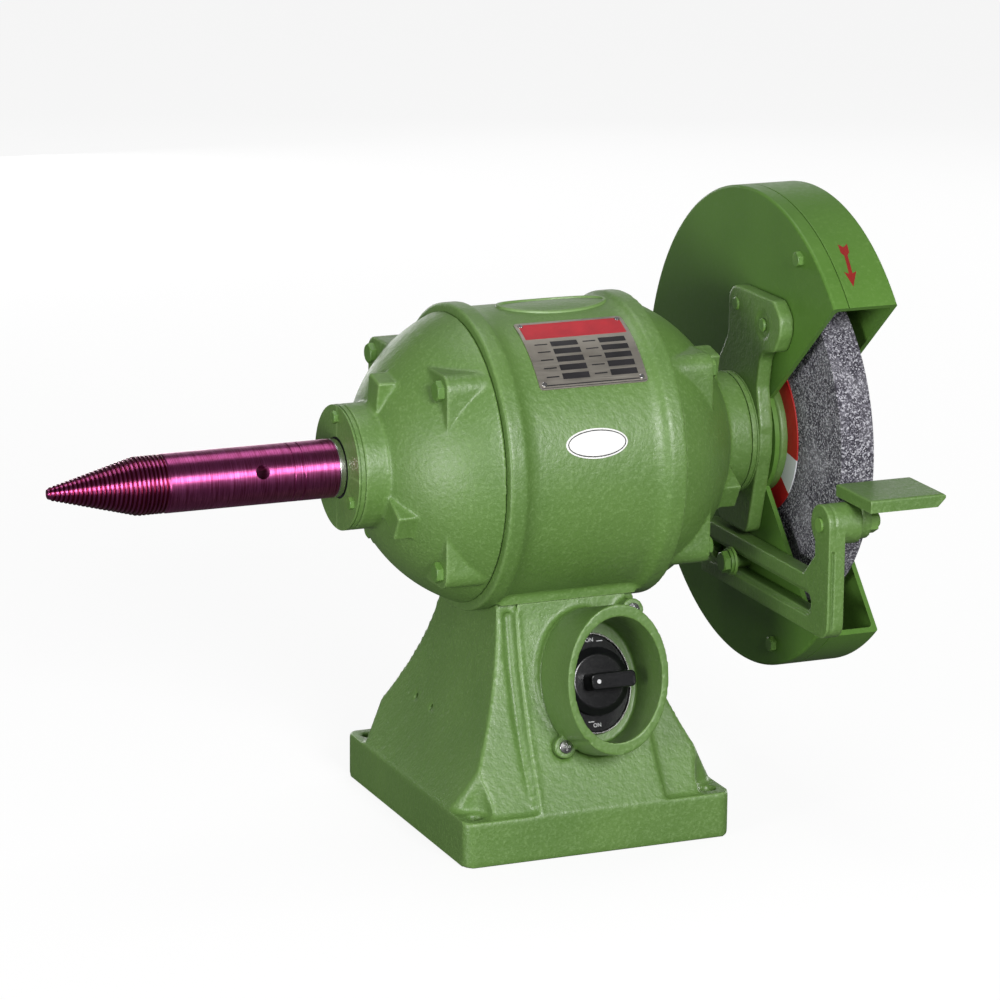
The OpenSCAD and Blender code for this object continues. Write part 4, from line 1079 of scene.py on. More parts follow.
@dataclass
class SwitchUnit(Unit):
    """The rotary switch in its oval surround."""

    voxel: float = 0.9
    back: float = 4.0
    plate: Triple = (27.0, 34.0, 4.5)
    plate_shift: Pair = (-1.5, -1.2)
    bezel_w: float = 1.6
    knob_r: float = 24.0
    knob_base: float = 7.0
    handle: tuple[float, float, float, float] = (-12.0, 22.0, 11.5, 21.0)
    handle_border: float = 1.7
    dot_x: float = -6.0
    dot_r: float = 1.5
    mark_h: float = 2.9
    mark_places: tuple[Pair, Pair] = ((-1.5, 29.0), (-2.0, -30.6))
    ears: tuple[Pair, Pair] = ((-27.0, -43.0), (35.0, 47.0))
    ear_t: float = 7.0

    def build(self) -> None:
        """Builds the surround, dial plate, bezel, knob and screws."""
        self.surround()
        self.dial()
        self.knob()
        self.screws()
        self.dresser.nodes(Finish.BEIGE, "switch_body", "terminal_block")
        self.dresser.nodes(Finish.STEEL, "switch_shaft")

    def surround(self) -> None:
        """Casts the oval surround from its solid."""
        casting = Bench.copy("switch_housing", "switch_surround")
        Bench.cast(casting, self.voxel, 3)
        self.dresser.seat(casting, Body.MACHINE, Finish.GREEN_CAST, "switch_housing", sharp=60.0)

    def dial(self) -> None:
        """Makes the black dial plate, its printed marks and its bright bezel."""
        rx, ry, thick = self.plate
        frame = switch_frame() @ Matrix.Translation((*self.plate_shift, 0))
        low, high = self.back, self.back + thick
        face, lip, wide = high - 0.2, high + 0.6, self.bezel_w
        plate = Form().prism(oval(rx - 0.05, ry - 0.05), low + 0.02, face, frame).piece("dial_plate")
        bore = Form().rod(frame @ Vector((0, 0, low - 1)), frame @ Vector((0, 0, high + 1)), 5.0)
        Bench.boolean(plate, bore.piece("bore"))
        Bench.bevel(plate, 0.5)
        self.dresser.seat(plate, Body.MACHINE, Finish.BLACK, "switch_plate")
        rim = []
        for grow, level in ((0.0, low), (wide, low), (wide, high), (1.1, lip), (0.5, lip), (0.0, high)):
            rim.append([frame @ Vector((x, y, level)) for x, y in oval(rx + grow, ry + grow, 128)])
        bezel = Form().grid(rim, True, True).piece("dial_bezel")
        self.dresser.seat(bezel, Body.MACHINE, Finish.TURNED, "switch_bezel")
        marks = [self.lettering("ON", centre, self.mark_h, face) for centre in self.mark_places]
        marks += [self.tick(turn, face) for turn in (0, 180)]
        self.dresser.seat(Bench.gather(marks, "dial_marks"), Body.MACHINE, Finish.PRINT_WHITE)

    def lettering(self, text: str, centre: Pair, height: float, level: float) -> bpy.types.Object:
        """Prints a generic mark on the dial plate.

        Args:
            text: What it says, such as ON.
            centre: Its middle on the plate.
            height: Height of its capitals.
            level: Height of the plate's face over the switch's seat.

        Returns:
            The mark as a thin mesh.
        """
        curve = bpy.data.curves.new("mark", "FONT")
        curve.body = text
        curve.size = height * 1.35 * MM
        curve.align_x, curve.align_y = "CENTER", "CENTER"
        curve.extrude = 0.04 * MM
        holder = placed("mark", curve)
        bpy.context.view_layer.update()
        data = bpy.data.meshes.new_from_object(holder.evaluated_get(bpy.context.evaluated_depsgraph_get()))
        bpy.data.objects.remove(holder)
        frame = switch_frame()
        frame.translation *= MM
        data.transform(frame @ Matrix.Translation(Vector((centre[0], centre[1], level + 0.05)) * MM))
        return placed("mark", data)

    def tick(self, turn: float, level: float) -> bpy.types.Object:
        """Prints a short line beside a mark, on the upper or lower side."""
        frame = switch_frame() @ Matrix.Rotation(math.radians(turn), 4, "Z")
        return Form().block((4.0, 27.6, level), (8.5, 28.1, level + 0.1), frame).piece("tick")

    def knob(self) -> None:
        """Makes the knob: a domed disc, and a handle with a raised border and one white dot."""
        frame = switch_frame()
        base = self.back + self.plate[2] + 0.3
        r, dome = self.knob_r, base + self.knob_base
        disc = rounded(
            [(0, base), (r, base), (r, base + 3.0), (r - 5.0, dome - 0.4), (0, dome)], [0, 0.5, 1.2, 3.0, 0]
        )
        form = Form().lathe(disc, frame, 128, False)
        tail, tip, wide, high = self.handle
        crown = base + high
        sections = []
        for level, grow in (
            (base + 1, 0.8), (base + 5, 0.2), (crown - 1.2, 0.0), (crown - 0.4, -0.3), (crown, -0.9),
        ):
            b = wide / 2 + grow
            outline = rounded(rectangle(tail - grow, -b, tip + grow, b), b * 0.6, 8)
            sections.append([(x, y, level) for x, y in outline])
        form.loft(sections, frame)
        knob = form.piece("switch_handle")
        edge = self.handle_border
        side = wide / 2 - edge
        recess = rounded(rectangle(tail + edge, -side, tip - edge, side), 2.2, 6)
        Bench.boolean(knob, Form().prism(recess, crown - 0.6, crown + 2, frame).piece("recess"), True)
        Bench.bevel(knob, 0.25, 2, 30)
        self.dresser.seat(knob, Body.SWITCH, Finish.BLACK, "switch_knob", sharp=50.0)
        dot = Form().prism(oval(self.dot_r, self.dot_r, 32, (self.dot_x, 0)), crown - 0.6, crown - 0.45, frame)
        self.dresser.seat(dot.piece("handle_dot"), Body.SWITCH, Finish.PRINT_WHITE)

    def screws(self) -> None:
        """Makes the two cross recessed screws in the surround's ears."""
        screws = []
        top = self.ear_t
        for x, y in self.ears:
            frame = switch_frame() @ Matrix.Translation((x, y, 0))
            head = rounded([(0, top), (4.8, top), (4.8, top + 1.2), (0, top + 3.2)], [0, 0.2, 1.6, 0])
            screw = Form().lathe(head, frame, 40, False).piece("screw")
            for a, b in ((2.9, 0.6), (0.6, 2.9)):
                cross = Form().block((-a, -b, top + 1.3), (a, b, top + 5), frame)
                Bench.boolean(screw, cross.piece("cross"))
            shank = Form().lathe([(0, -13), (2.5, -13), (2.5, top + 0.2), (0, top + 0.2)], frame, 24, False)
            screws += [screw, shank.piece("shank")]
        whole = Bench.gather(screws, "surround_screws")
        self.dresser.seat(whole, Body.MACHINE, Finish.STEEL, "switch_housing_screws")


@dataclass
class Motor(Unit):
    """The motor: barrel, end bells, bearing caps, plates and what is inside."""

    barrel_voxel: float = 1.6
    bell_voxel: float = 1.28
    barrel_r: float = 104.5
    ring_r: float = 108.5
    half: float = 66.5
    ring_in: float = 54.0
    bore_r: float = 97.0
    foot: Triple = (104.0, 112.0, 168.0)
    hub_r: float = 44.0
    hub_x: float = 147.0
    cap_x: float = 152.0
    cap_hole_r: float = 21.5
    lug_x: float = 100.0
    bolt_circle: float = 90.5
    crest: Triple = (41.5, 22.0, 8.5)
    plate_x: Pair = (-35.0, 46.0)
    plate_angles: Pair = (37.0, 71.0)
    badge: Triple = (23.0, 10.5, 15.0)
    dome_r: float = 109.8
    dome_x: float = 28.4
    wall: float = 8.0
    lug: Triple = (20.0, 75.5, 11.0)
    ribs: Triple = (78.0, 198.0, 330.0)
    rib_size: Triple = (14.0, 66.0, 20.0)
    rib_face: float = 130.0
    bearing_r: float = 26.0
    seal_r: float = 22.0
    cap_screw_circle: float = 36.0
    bracket_screw_x: float = 163.0

    def build(self) -> None:
        """Builds the motor's castings, plates and screws, and dresses its inside."""
        self.barrel()
        self.crest_rim()
        for side in (-1, 1):
            self.bell(side)
            self.cap(side)
        self.bolts()
        self.name_plate()
        self.oval_badge()
        self.dresser.nodes(Finish.CORE, "stator_core", "rotor_core")
        self.dresser.nodes(Finish.COPPER, "stator_windings")
        self.dresser.nodes(Finish.ROTOR_METAL, "rotor_end_rings")
        for side in ("left", "right"):
            names = [f"{side}_bearing_{part}" for part in ("outer_ring", "inner_ring", "balls")]
            self.dresser.nodes(Finish.TURNED, *names)
            self.dresser.nodes(Finish.RUBBER, f"{side}_shaft_seal")

    def barrel(self) -> None:
        """Casts the barrel, whose end rings run into it in wide fillets, with its foot."""
        r, ring, half, inner = self.barrel_r, self.ring_r, self.half, self.ring_in
        side = [(self.bore_r, -half), (ring, -half), (ring, -inner), (r + 1.3, -inner + 3.5), (r, -inner + 9)]
        radii = [0, 1.4, 2.5, 8, 8]
        profile = rounded(side + sided(side[::-1], -1), radii + radii[::-1], 6)
        form = Form().lathe(profile, shaft_frame(), 256)
        wide, deep, low = self.foot
        outline = rounded(rectangle(-wide / 2, -deep / 2, wide / 2, deep / 2), 3)
        form.prism(outline, low, low + 10, Matrix())
        for x0, x1 in ((-52, 0), (0, 52)):
            for y0, y1 in ((-56, -40), (40, 56)):
                form.block((x0, y0, low), (x1, y1, low + 30))
        barrel = Bench.cast(form.piece("motor_barrel_casting"), self.barrel_voxel, 3)
        self.dresser.seat(barrel, Body.MACHINE, Finish.GREEN_CAST, "motor_barrel", sharp=60.0)

    def crest_rim(self) -> None:
        """Makes the raised bare oval on top of the barrel."""
        rx, ry, x0 = self.crest
        rows = []
        count = 160
        lift = [(-0.2, -0.6), (0.15, 1.0), (0.75, 1.45), (2.25, 1.45), (2.85, 1.0), (3.2, -0.6)]
        for k in range(count):
            turn = 2 * math.pi * k / count
            row = []
            for inset, height in lift:
                x = x0 + (rx - inset) * math.cos(turn)
                y = (ry - inset) * math.sin(turn)
                r = self.barrel_r + height
                row.append(Vector((x, y, SHAFT_H + math.sqrt(r * r - y * y))))
            rows.append(row)
        rim = Form().grid([list(c) for c in zip(*rows)], True, True).piece("crest_oval")
        self.dresser.seat(rim, Body.MACHINE, Finish.GREEN_CAST, sharp=60.0)

    def bell(self, side: int) -> None:
        """Casts one end bell: a hollow dome with its hub, three ribs and four square lugs for the bolts."""
        name = "left" if side < 0 else "right"
        frame = shaft_frame()
        inner_r = self.dome_r - self.wall
        joint = self.half + 0.1
        outer = [(0.0, joint)] + self.dome(self.dome_r, joint, self.hub_r)
        outer += [(self.hub_r, self.hub_x), (0.0, self.hub_x)]
        form = Form().lathe(sided(outer, side), frame, 200, False)
        near, far, corner = self.lug
        block = rounded(rectangle(near, near, far, far), [0, 0, corner, 0], 8)
        for back, up in QUARTERS:
            form.prism([(back * a, up * b) for a, b in block], side * joint, side * self.lug_x, frame)
        deep, reach, wide = self.rib_size
        low, high = sorted((side * self.rib_face, side * (self.rib_face - deep)))
        for angle in self.ribs:
            turned = frame @ Matrix.Rotation(math.radians(180 - angle), 4, "Z")
            form.block((self.hub_r / 2, -wide / 2, low), (reach, wide / 2, high), turned)
        bell = form.piece(f"{name}_bell_casting")
        seal, bearing, end = self.seal_r, self.bearing_r, self.hub_x + 1
        hollow = [(0.0, joint - 1)] + self.dome(inner_r, joint - 1, 30.0)
        hollow += [(seal, 127.0), (seal, 131.0), (bearing, 131.0), (bearing, end), (0.0, end)]
        cutter = Form().lathe(sided(hollow, side), frame, 160, False)
        Bench.boolean(bell, cutter.piece("hollow"), True)
        Bench.cast(bell, self.bell_voxel, 2)
        self.dresser.seat(bell, Body.MACHINE, Finish.GREEN_CAST, f"{name}_end_bell", sharp=60.0)

    def dome(self, radius: float, low: float, inner: float) -> list[Pair]:
        """Draws the dome's profile from its foot to the hub.

        Args:
            radius: The sphere's radius.
            low: Where the foot lies along the shaft.
            inner: Radius at which the hub takes over.

        Returns:
            Points of radius and place along the shaft.
        """
        start = math.asin((low - self.dome_x) / radius)
        end = math.acos(inner / radius)
        turns = [start + (end - start) * k / 40 for k in range(41)]
        return [(radius * math.cos(t), self.dome_x + radius * math.sin(t)) for t in turns]

    def cap(self, side: int) -> None:
        """Turns one bearing cap, with a groove near its face."""
        name = "left" if side < 0 else "right"
        r, hub, face = self.hub_r, self.hub_x, self.cap_x
        hole_r, bearing = self.cap_hole_r, self.bearing_r
        outline = [
            (hole_r, hub - 1), (bearing, hub - 1), (bearing, hub), (r, hub), (r, hub + 2.9), (r - 0.8, hub + 3.2),
            (r - 0.8, hub + 3.7), (r, hub + 4.0), (r, face), (hole_r, face),
        ]
        radii = [0, 0, 0, 0.4, 0.2, 0.1, 0.1, 0.2, 0.9, 0.6]
        profile = sided(rounded(outline, radii, 3), side)
        cap = Form().lathe(profile, shaft_frame(), 160).piece(f"{name}_cap_turning")
        for angle in THIRDS:
            start, end = (on_circle(side * x, self.cap_screw_circle, angle) for x in (hub - 3, face + 3))
            Bench.boolean(cap, Form().rod(start, end, 2.55, 24).piece("hole"))
        self.dresser.seat(cap, Body.MACHINE, Finish.GREEN_CAST, f"{name}_bearing_cap", sharp=50.0)

    def bolts(self) -> None:
        """Sets the end bell bolts and the cap screws, painted over with the castings."""
        places = []
        for side in (-1, 1):
            for angle in (45, 135, 225, 315):
                places.append((on_circle(side * self.lug_x, self.bolt_circle, angle), Vector((side, 0, 0))))
        self.fasteners.set_on(
            "bell_bolts", places, Finish.GREEN_BOLT, Body.MACHINE, "end_bell_bolts",
            flats=13, head=5, shank=4, length=50,
        )
        places = []
        for side, x in ((-1, self.cap_x), (1, self.bracket_screw_x)):
            for angle in THIRDS:
                places.append((on_circle(side * x, self.cap_screw_circle, angle), Vector((side, 0, 0))))
        self.fasteners.set_on(
            "cap_screws", places, Finish.GREEN_BOLT, Body.MACHINE, "bearing_cap_screws",
            flats=8, head=3.5, shank=2.5, length=16,
        )

    def patch(
        self, name: str, along: Pair, angles: Pair, low: float, high: float, corner: float = 0.0
    ) -> bpy.types.Object:
        """Makes a thin curved patch on the barrel.

        Args:
            name: The piece's name.
            along: Its two ends along the shaft.
            angles: Its lower and upper edge, above the front.
            low: Radius of its underside.
            high: Radius of its face.
            corner: Radius of its corners.

        Returns:
            The patch.
        """
        mean = math.radians(1) * self.barrel_r
        v0, v1 = angles[0] * mean, angles[1] * mean
        outline = rectangle(along[0], v0, along[1], v1)
        if corner:
            outline = rounded(outline, corner, 3)
        count = max(2, int(abs(v1 - v0) / 3.0))
        cuts = [v0 + (v1 - v0) * k / count for k in range(1, count)]

        def bend(flat: Vector, raised: bool) -> Vector:
            """Lays a flat point on the barrel."""
            return on_circle(flat.x, high if raised else low, math.degrees(flat.y / self.barrel_r))

        return Form().sheet(outline, cuts, bend).piece(name)

    def table_cells(self, name: str, across: Pair, first: float, tall: float, proud: float) -> list[bpy.types.Object]:
        """Prints the bare cells of the name plate's table.

        Args:
            name: What the cells are.
            across: Each cell's two ends in its column.
            first: How far the first row lies below the plate's top.
            tall: Height of a cell.
            proud: Height of the print over the plate's face.

        Returns:
            The cells of both columns.
        """
        face, high, cells = self.barrel_r + 0.8, self.plate_angles[1], []
        degree = 1.0 / (math.radians(1) * self.barrel_r)
        for column in range(2):
            left = self.plate_x[0] + 6 + column * 36.0
            for row in range(5):
                top = high - (first + row * 7.0) * degree
                ends = (left + across[0], left + across[1])
                cells.append(self.patch(name, ends, (top - tall * degree, top), face - 0.05, face + proud))
        return cells

    def name_plate(self) -> None:
        """Makes the name plate with its header band, bare cells, borders and four rivets. It bears no words."""
        r = self.barrel_r
        x0, x1 = self.plate_x
        low, high = self.plate_angles
        face = r + 0.8
        degree = 1.0 / (math.radians(1) * r)
        plate = self.patch("name_plate_blank", (x0, x1), (low, high), r - 0.02, face, 2.5)
        self.dresser.seat(plate, Body.MACHINE, Finish.PLATE, "name_plate")
        band = (high - 19 * degree, high - 2.5 * degree)
        header = [self.patch("band", (x0 + 2.5, x1 - 2.5), band, face - 0.05, face + 0.08)]
        self.dresser.seat(Bench.gather(header, "plate_header"), Body.MACHINE, Finish.PRINT_RED)
        cells = self.table_cells("cell", (13, 33), 22.5, 4.6, 0.07)
        for inset, bottom, top in ((5, 2.6, 3.4), (1.2, 1.0, 1.4)):
            edges = (low + bottom * degree, low + top * degree)
            cells.append(self.patch("line", (x0 + inset, x1 - inset), edges, face - 0.05, face + 0.07))
        cells += self.table_cells("dash", (1, 10.5), 24.2, 1.0, 0.06)
        self.dresser.seat(Bench.gather(cells, "plate_cells"), Body.MACHINE, Finish.PRINT_BLACK)
        inset = 4.0
        places = []
        for x in (x0 + inset, x1 - inset):
            for angle in (low + inset * degree, high - inset * degree):
                seat = on_circle(x, face, angle)
                places.append((seat, Vector((0, seat.y, seat.z - SHAFT_H)).normalized()))
        self.fasteners.set_on(
            "plate_rivets", places, Finish.TURNED, Body.MACHINE, "name_plate_rivets",
            flats=3.3, head=0.7, shank=1.0, length=0.7, sides=24, edge=0.2,
        )

    def oval_badge(self) -> None:
        """Makes the bare oval badge: a dark border round a white field, slightly domed."""
        rx, ry, angle = self.badge
        r = self.barrel_r
        for name, shrink, low, high, finish, nodes in (
            ("badge_margin", 0.0, r - 0.3, r + 1.0, Finish.BADGE, ("oval_badge",)),
            ("badge_line", 1.1, r + 0.2, r + 1.12, Finish.BADGE_EDGE, ()),
            ("badge_field", 1.9, r + 0.3, r + 1.24, Finish.BADGE, ()),
        ):
            rows = []
            for share, level in ((1.0, low), (1.0, high - 0.25), (0.985, high), (0.5, high), (0.0, high)):
                row = []
                for x, v in oval((rx - shrink) * share, (ry - shrink) * share, 96):
                    row.append(on_circle(x, level, angle + math.degrees(v / r)))
                rows.append(row[:1] if share == 0 else row)
            rows.insert(0, [on_circle(0, low, angle)])
            piece = Form().grid(rows, False, True).piece(name)
            self.dresser.seat(piece, Body.MACHINE, finish, *nodes)


@dataclass
class Rotor(Unit):
    """What turns: shaft, polishing spindle, wheel and its clamp."""

    shaft_r: float = 12.6
    sleeve_r: float = 16.0
    bush_r: float = 12.75
    spindle_bore: float = 10.0
    spindle_bore_end: float = 204.9
    groove_places: Pair = (182.7, 190.0)
    cross_hole: Triple = (213.0, 19.0, 5.0)
    thread_turns: int = 27
    turn_steps: int = 40
    ridge_r: float = 0.85
    spindle_r: float = 20.5
    root_x: float = 156.3
    thread_x: float = 280.0
    cone_x: float = 299.0
    tip_x: float = 361.0
    tip_r: float = 4.6
    pitch: float = 3.0
    depth: float = 0.9
    wheel: Triple = (175.0, 200.4, 127.0)
    flange_r: float = 45.0
    blotter_r: float = 60.0

    def build(self) -> None:
        """Builds the turning parts."""
        self.spindle()
        self.thread()
        self.collar()
        self.grinding_wheel()
        self.clamp()
        self.dresser.nodes(Finish.STEEL, "rotor_shaft")

    def spindle(self) -> None:
        """Turns the polished spindle with its grooves, cross hole and the core of its thread."""
        r, deep, root, tip = self.spindle_r, self.depth, self.root_x, self.tip_x
        bore, end = self.spindle_bore, self.spindle_bore_end
        half, low = 0.6, r - 0.5
        outline = [(bore, root + 0.3), (r - 0.9, root), (r, root + 0.9)]
        for x in self.groove_places:
            outline += [(r, x - half - 0.25), (low, x - half + 0.1), (low, x + half - 0.1), (r, x + half + 0.25)]
        outline += [(r, self.thread_x - 1.2), (r - deep, self.thread_x - 0.2), (r - deep, self.cone_x)]
        outline += [(self.tip_r - deep, tip - 0.6), (self.tip_r - deep - 0.6, tip), (0, tip), (0, end), (bore, end)]
        spindle = Form().lathe(sided(outline, -1), shaft_frame(), 144, False).piece("polishing_spindle")
        place, angle, hole_r = self.cross_hole
        way = on_circle(0, 1, angle) - on_circle(0, 0, 0)
        middle = Vector((-place, 0, SHAFT_H))
        Bench.boolean(spindle, Form().rod(middle - way * 30, middle + way * 30, hole_r, 48).piece("hole"))
        Bench.bevel(spindle, 0.35, 2, 50)
        self.dresser.seat(spindle, Body.ROTOR, Finish.PURPLE, "spindle", sharp=40.0)

    def thread(self) -> None:
        """Winds the thread as one ridge that follows the straight and then the cone."""
        tree = Tree("spindle_thread")
        for name in ("Root radius", "Tip radius", "Pitch", "Straight", "Taper", "Ridge"):
            tree.value(name)
        tree.value("Points", "Int")
        tree.value("Material", "Material")
        given = tree.given
        whole = tree.sum("ADD", given("Straight"), given("Taper"))
        line = tree.node("GeometryNodeCurvePrimitiveLine", {"End": (1, 0, 0)}).outputs[0]
        fine = tree.node("GeometryNodeResampleCurve", {"Curve": line, "Count": given("Points")}).outputs[0]
        share = tree.node("GeometryNodeSplineParameter").outputs["Factor"]
        along = tree.sum("MULTIPLY", share, whole)
        turn = tree.sum("MULTIPLY", tree.sum("DIVIDE", along, given("Pitch")), 2 * math.pi)
        beyond = tree.sum("MAXIMUM", tree.sum("SUBTRACT", along, given("Straight")), 0.0)
        past = tree.sum("DIVIDE", beyond, given("Taper"))
        fall = tree.sum("MULTIPLY", tree.sum("SUBTRACT", given("Tip radius"), given("Root radius")), past)
        radius = tree.sum("ADD", given("Root radius"), fall)
        y = tree.sum("MULTIPLY", radius, tree.sum("COSINE", turn))
        z = tree.sum("MULTIPLY", radius, tree.sum("SINE", turn))
        place = tree.node("ShaderNodeCombineXYZ", {0: tree.sum("MULTIPLY", along, -1.0), 1: y, 2: z}).outputs[0]
        helix = tree.node("GeometryNodeSetPosition", {"Geometry": fine, "Position": place}).outputs[0]
        ridge = tree.node("GeometryNodeCurvePrimitiveCircle", {"Resolution": 6, "Radius": given("Ridge")}).outputs[0]
        sweep = {"Curve": helix, "Profile Curve": ridge, "Fill Caps": True}
        group = tree.finish(tree.node("GeometryNodeCurveToMesh", sweep).outputs[0])
        obj = placed("spindle_thread", bpy.data.meshes.new("spindle_thread"))
        ridge_r = self.ridge_r
        values = {
            "Root radius": (self.spindle_r - ridge_r) * MM,
            "Tip radius": (self.tip_r - ridge_r) * MM,
            "Pitch": self.pitch * MM,
            "Straight": (self.cone_x - self.thread_x) * MM,
            "Taper": (self.tip_x - self.cone_x - 1.5) * MM,
            "Ridge": ridge_r * MM,
            "Points": self.thread_turns * self.turn_steps,
            "Material": self.dresser.material(Finish.THREAD),
        }
        Tree.grow(obj, group, values)
        obj.data.transform(Matrix.Translation(Vector((-self.thread_x, 0, SHAFT_H)) * MM))
        self.dresser.seat(obj, Body.ROTOR, Finish.THREAD, sharp=70.0)

    def collar(self) -> None:
        """Turns the bright collar between the bearing cap and the spindle."""
        bore, sleeve = self.shaft_r, self.sleeve_r
        outline = [
            (bore, 146.0), (sleeve, 146.0), (sleeve, 151.9), (20.3, 151.9), (20.3, 156.2), (19.2, 157.2), (bore, 157.2),
        ]
        profile = sided(rounded(outline, [0, 0.3, 0.2, 0.6, 0.6, 0.3, 0], 3), -1)
        piece = Form().lathe(profile, shaft_frame(), 128).piece("spindle_collar_ring")
        self.dresser.seat(piece, Body.ROTOR, Finish.TURNED, "spindle_collar")

    def grinding_wheel(self) -> None:
        """Makes the wheel with its slightly broken corners, and the paper rings on both sides."""
        low, high, r = self.wheel
        profile = rounded(rectangle(self.bush_r, low, r, high), [0, 0.9, 0.9, 0], 3)
        wheel = Form().lathe(profile, shaft_frame(), 224).piece("grinding_wheel_stone")
        self.dresser.seat(wheel, Body.ROTOR, Finish.GRIT, "grinding_wheel", sharp=50.0)
        papers = Form()
        for hole_r, start, stop in ((31.0, low - 1.0, low), (13.7, high, high + 1.0)):
            outline = rectangle(hole_r, start + 0.02, self.blotter_r, stop - 0.02)
            papers.lathe(rounded(outline, [0, 0.3, 0.3, 0], 2), shaft_frame(), 160)
        self.dresser.seat(papers.piece("paper_rings"), Body.ROTOR, Finish.RED_PAPER, "wheel_blotters")

    def clamp(self) -> None:
        """Turns the two flanges that clamp the wheel, and sets its nut."""
        r, bore, sleeve, end = self.flange_r, self.shaft_r, self.sleeve_r, 207.4
        inner = [
            (bore, 146.0), (sleeve, 146.0), (sleeve, 168.0), (r, 168.0), (r, 174.0), (r - 14, 174.0), (r - 14, 173.0),
            (bore, 173.0),
        ]
        profile = rounded(inner, [0, 0.3, 2.0, 2.4, 0.6, 0.3, 0.3, 0], 4)
        flange = Form().lathe(profile, shaft_frame(), 128).piece("inner_flange_turning")
        self.dresser.seat(flange, Body.ROTOR, Finish.GREEN_CAST, "inner_wheel_flange", sharp=50.0)
        outer = [(bore, 201.4), (r, 201.4), (r, 204.5), (r - 6, end), (bore, end)]
        profile = rounded(outer, [0, 0.4, 1.0, 1.0, 0.3], 3)
        flange = Form().lathe(profile, shaft_frame(), 128).piece("outer_flange_turning")
        self.dresser.seat(flange, Body.ROTOR, Finish.STEEL, "outer_wheel_flange", sharp=50.0)
        seat = [(Vector((end, 0, SHAFT_H)), Vector((1, 0, 0)))]
        self.fasteners.set_on(
            "shaft_nut", seat, Finish.STEEL, Body.ROTOR, "wheel_nut",
            flats=36, head=12, shank=12.4, length=0.1, edge=0.4,
        )


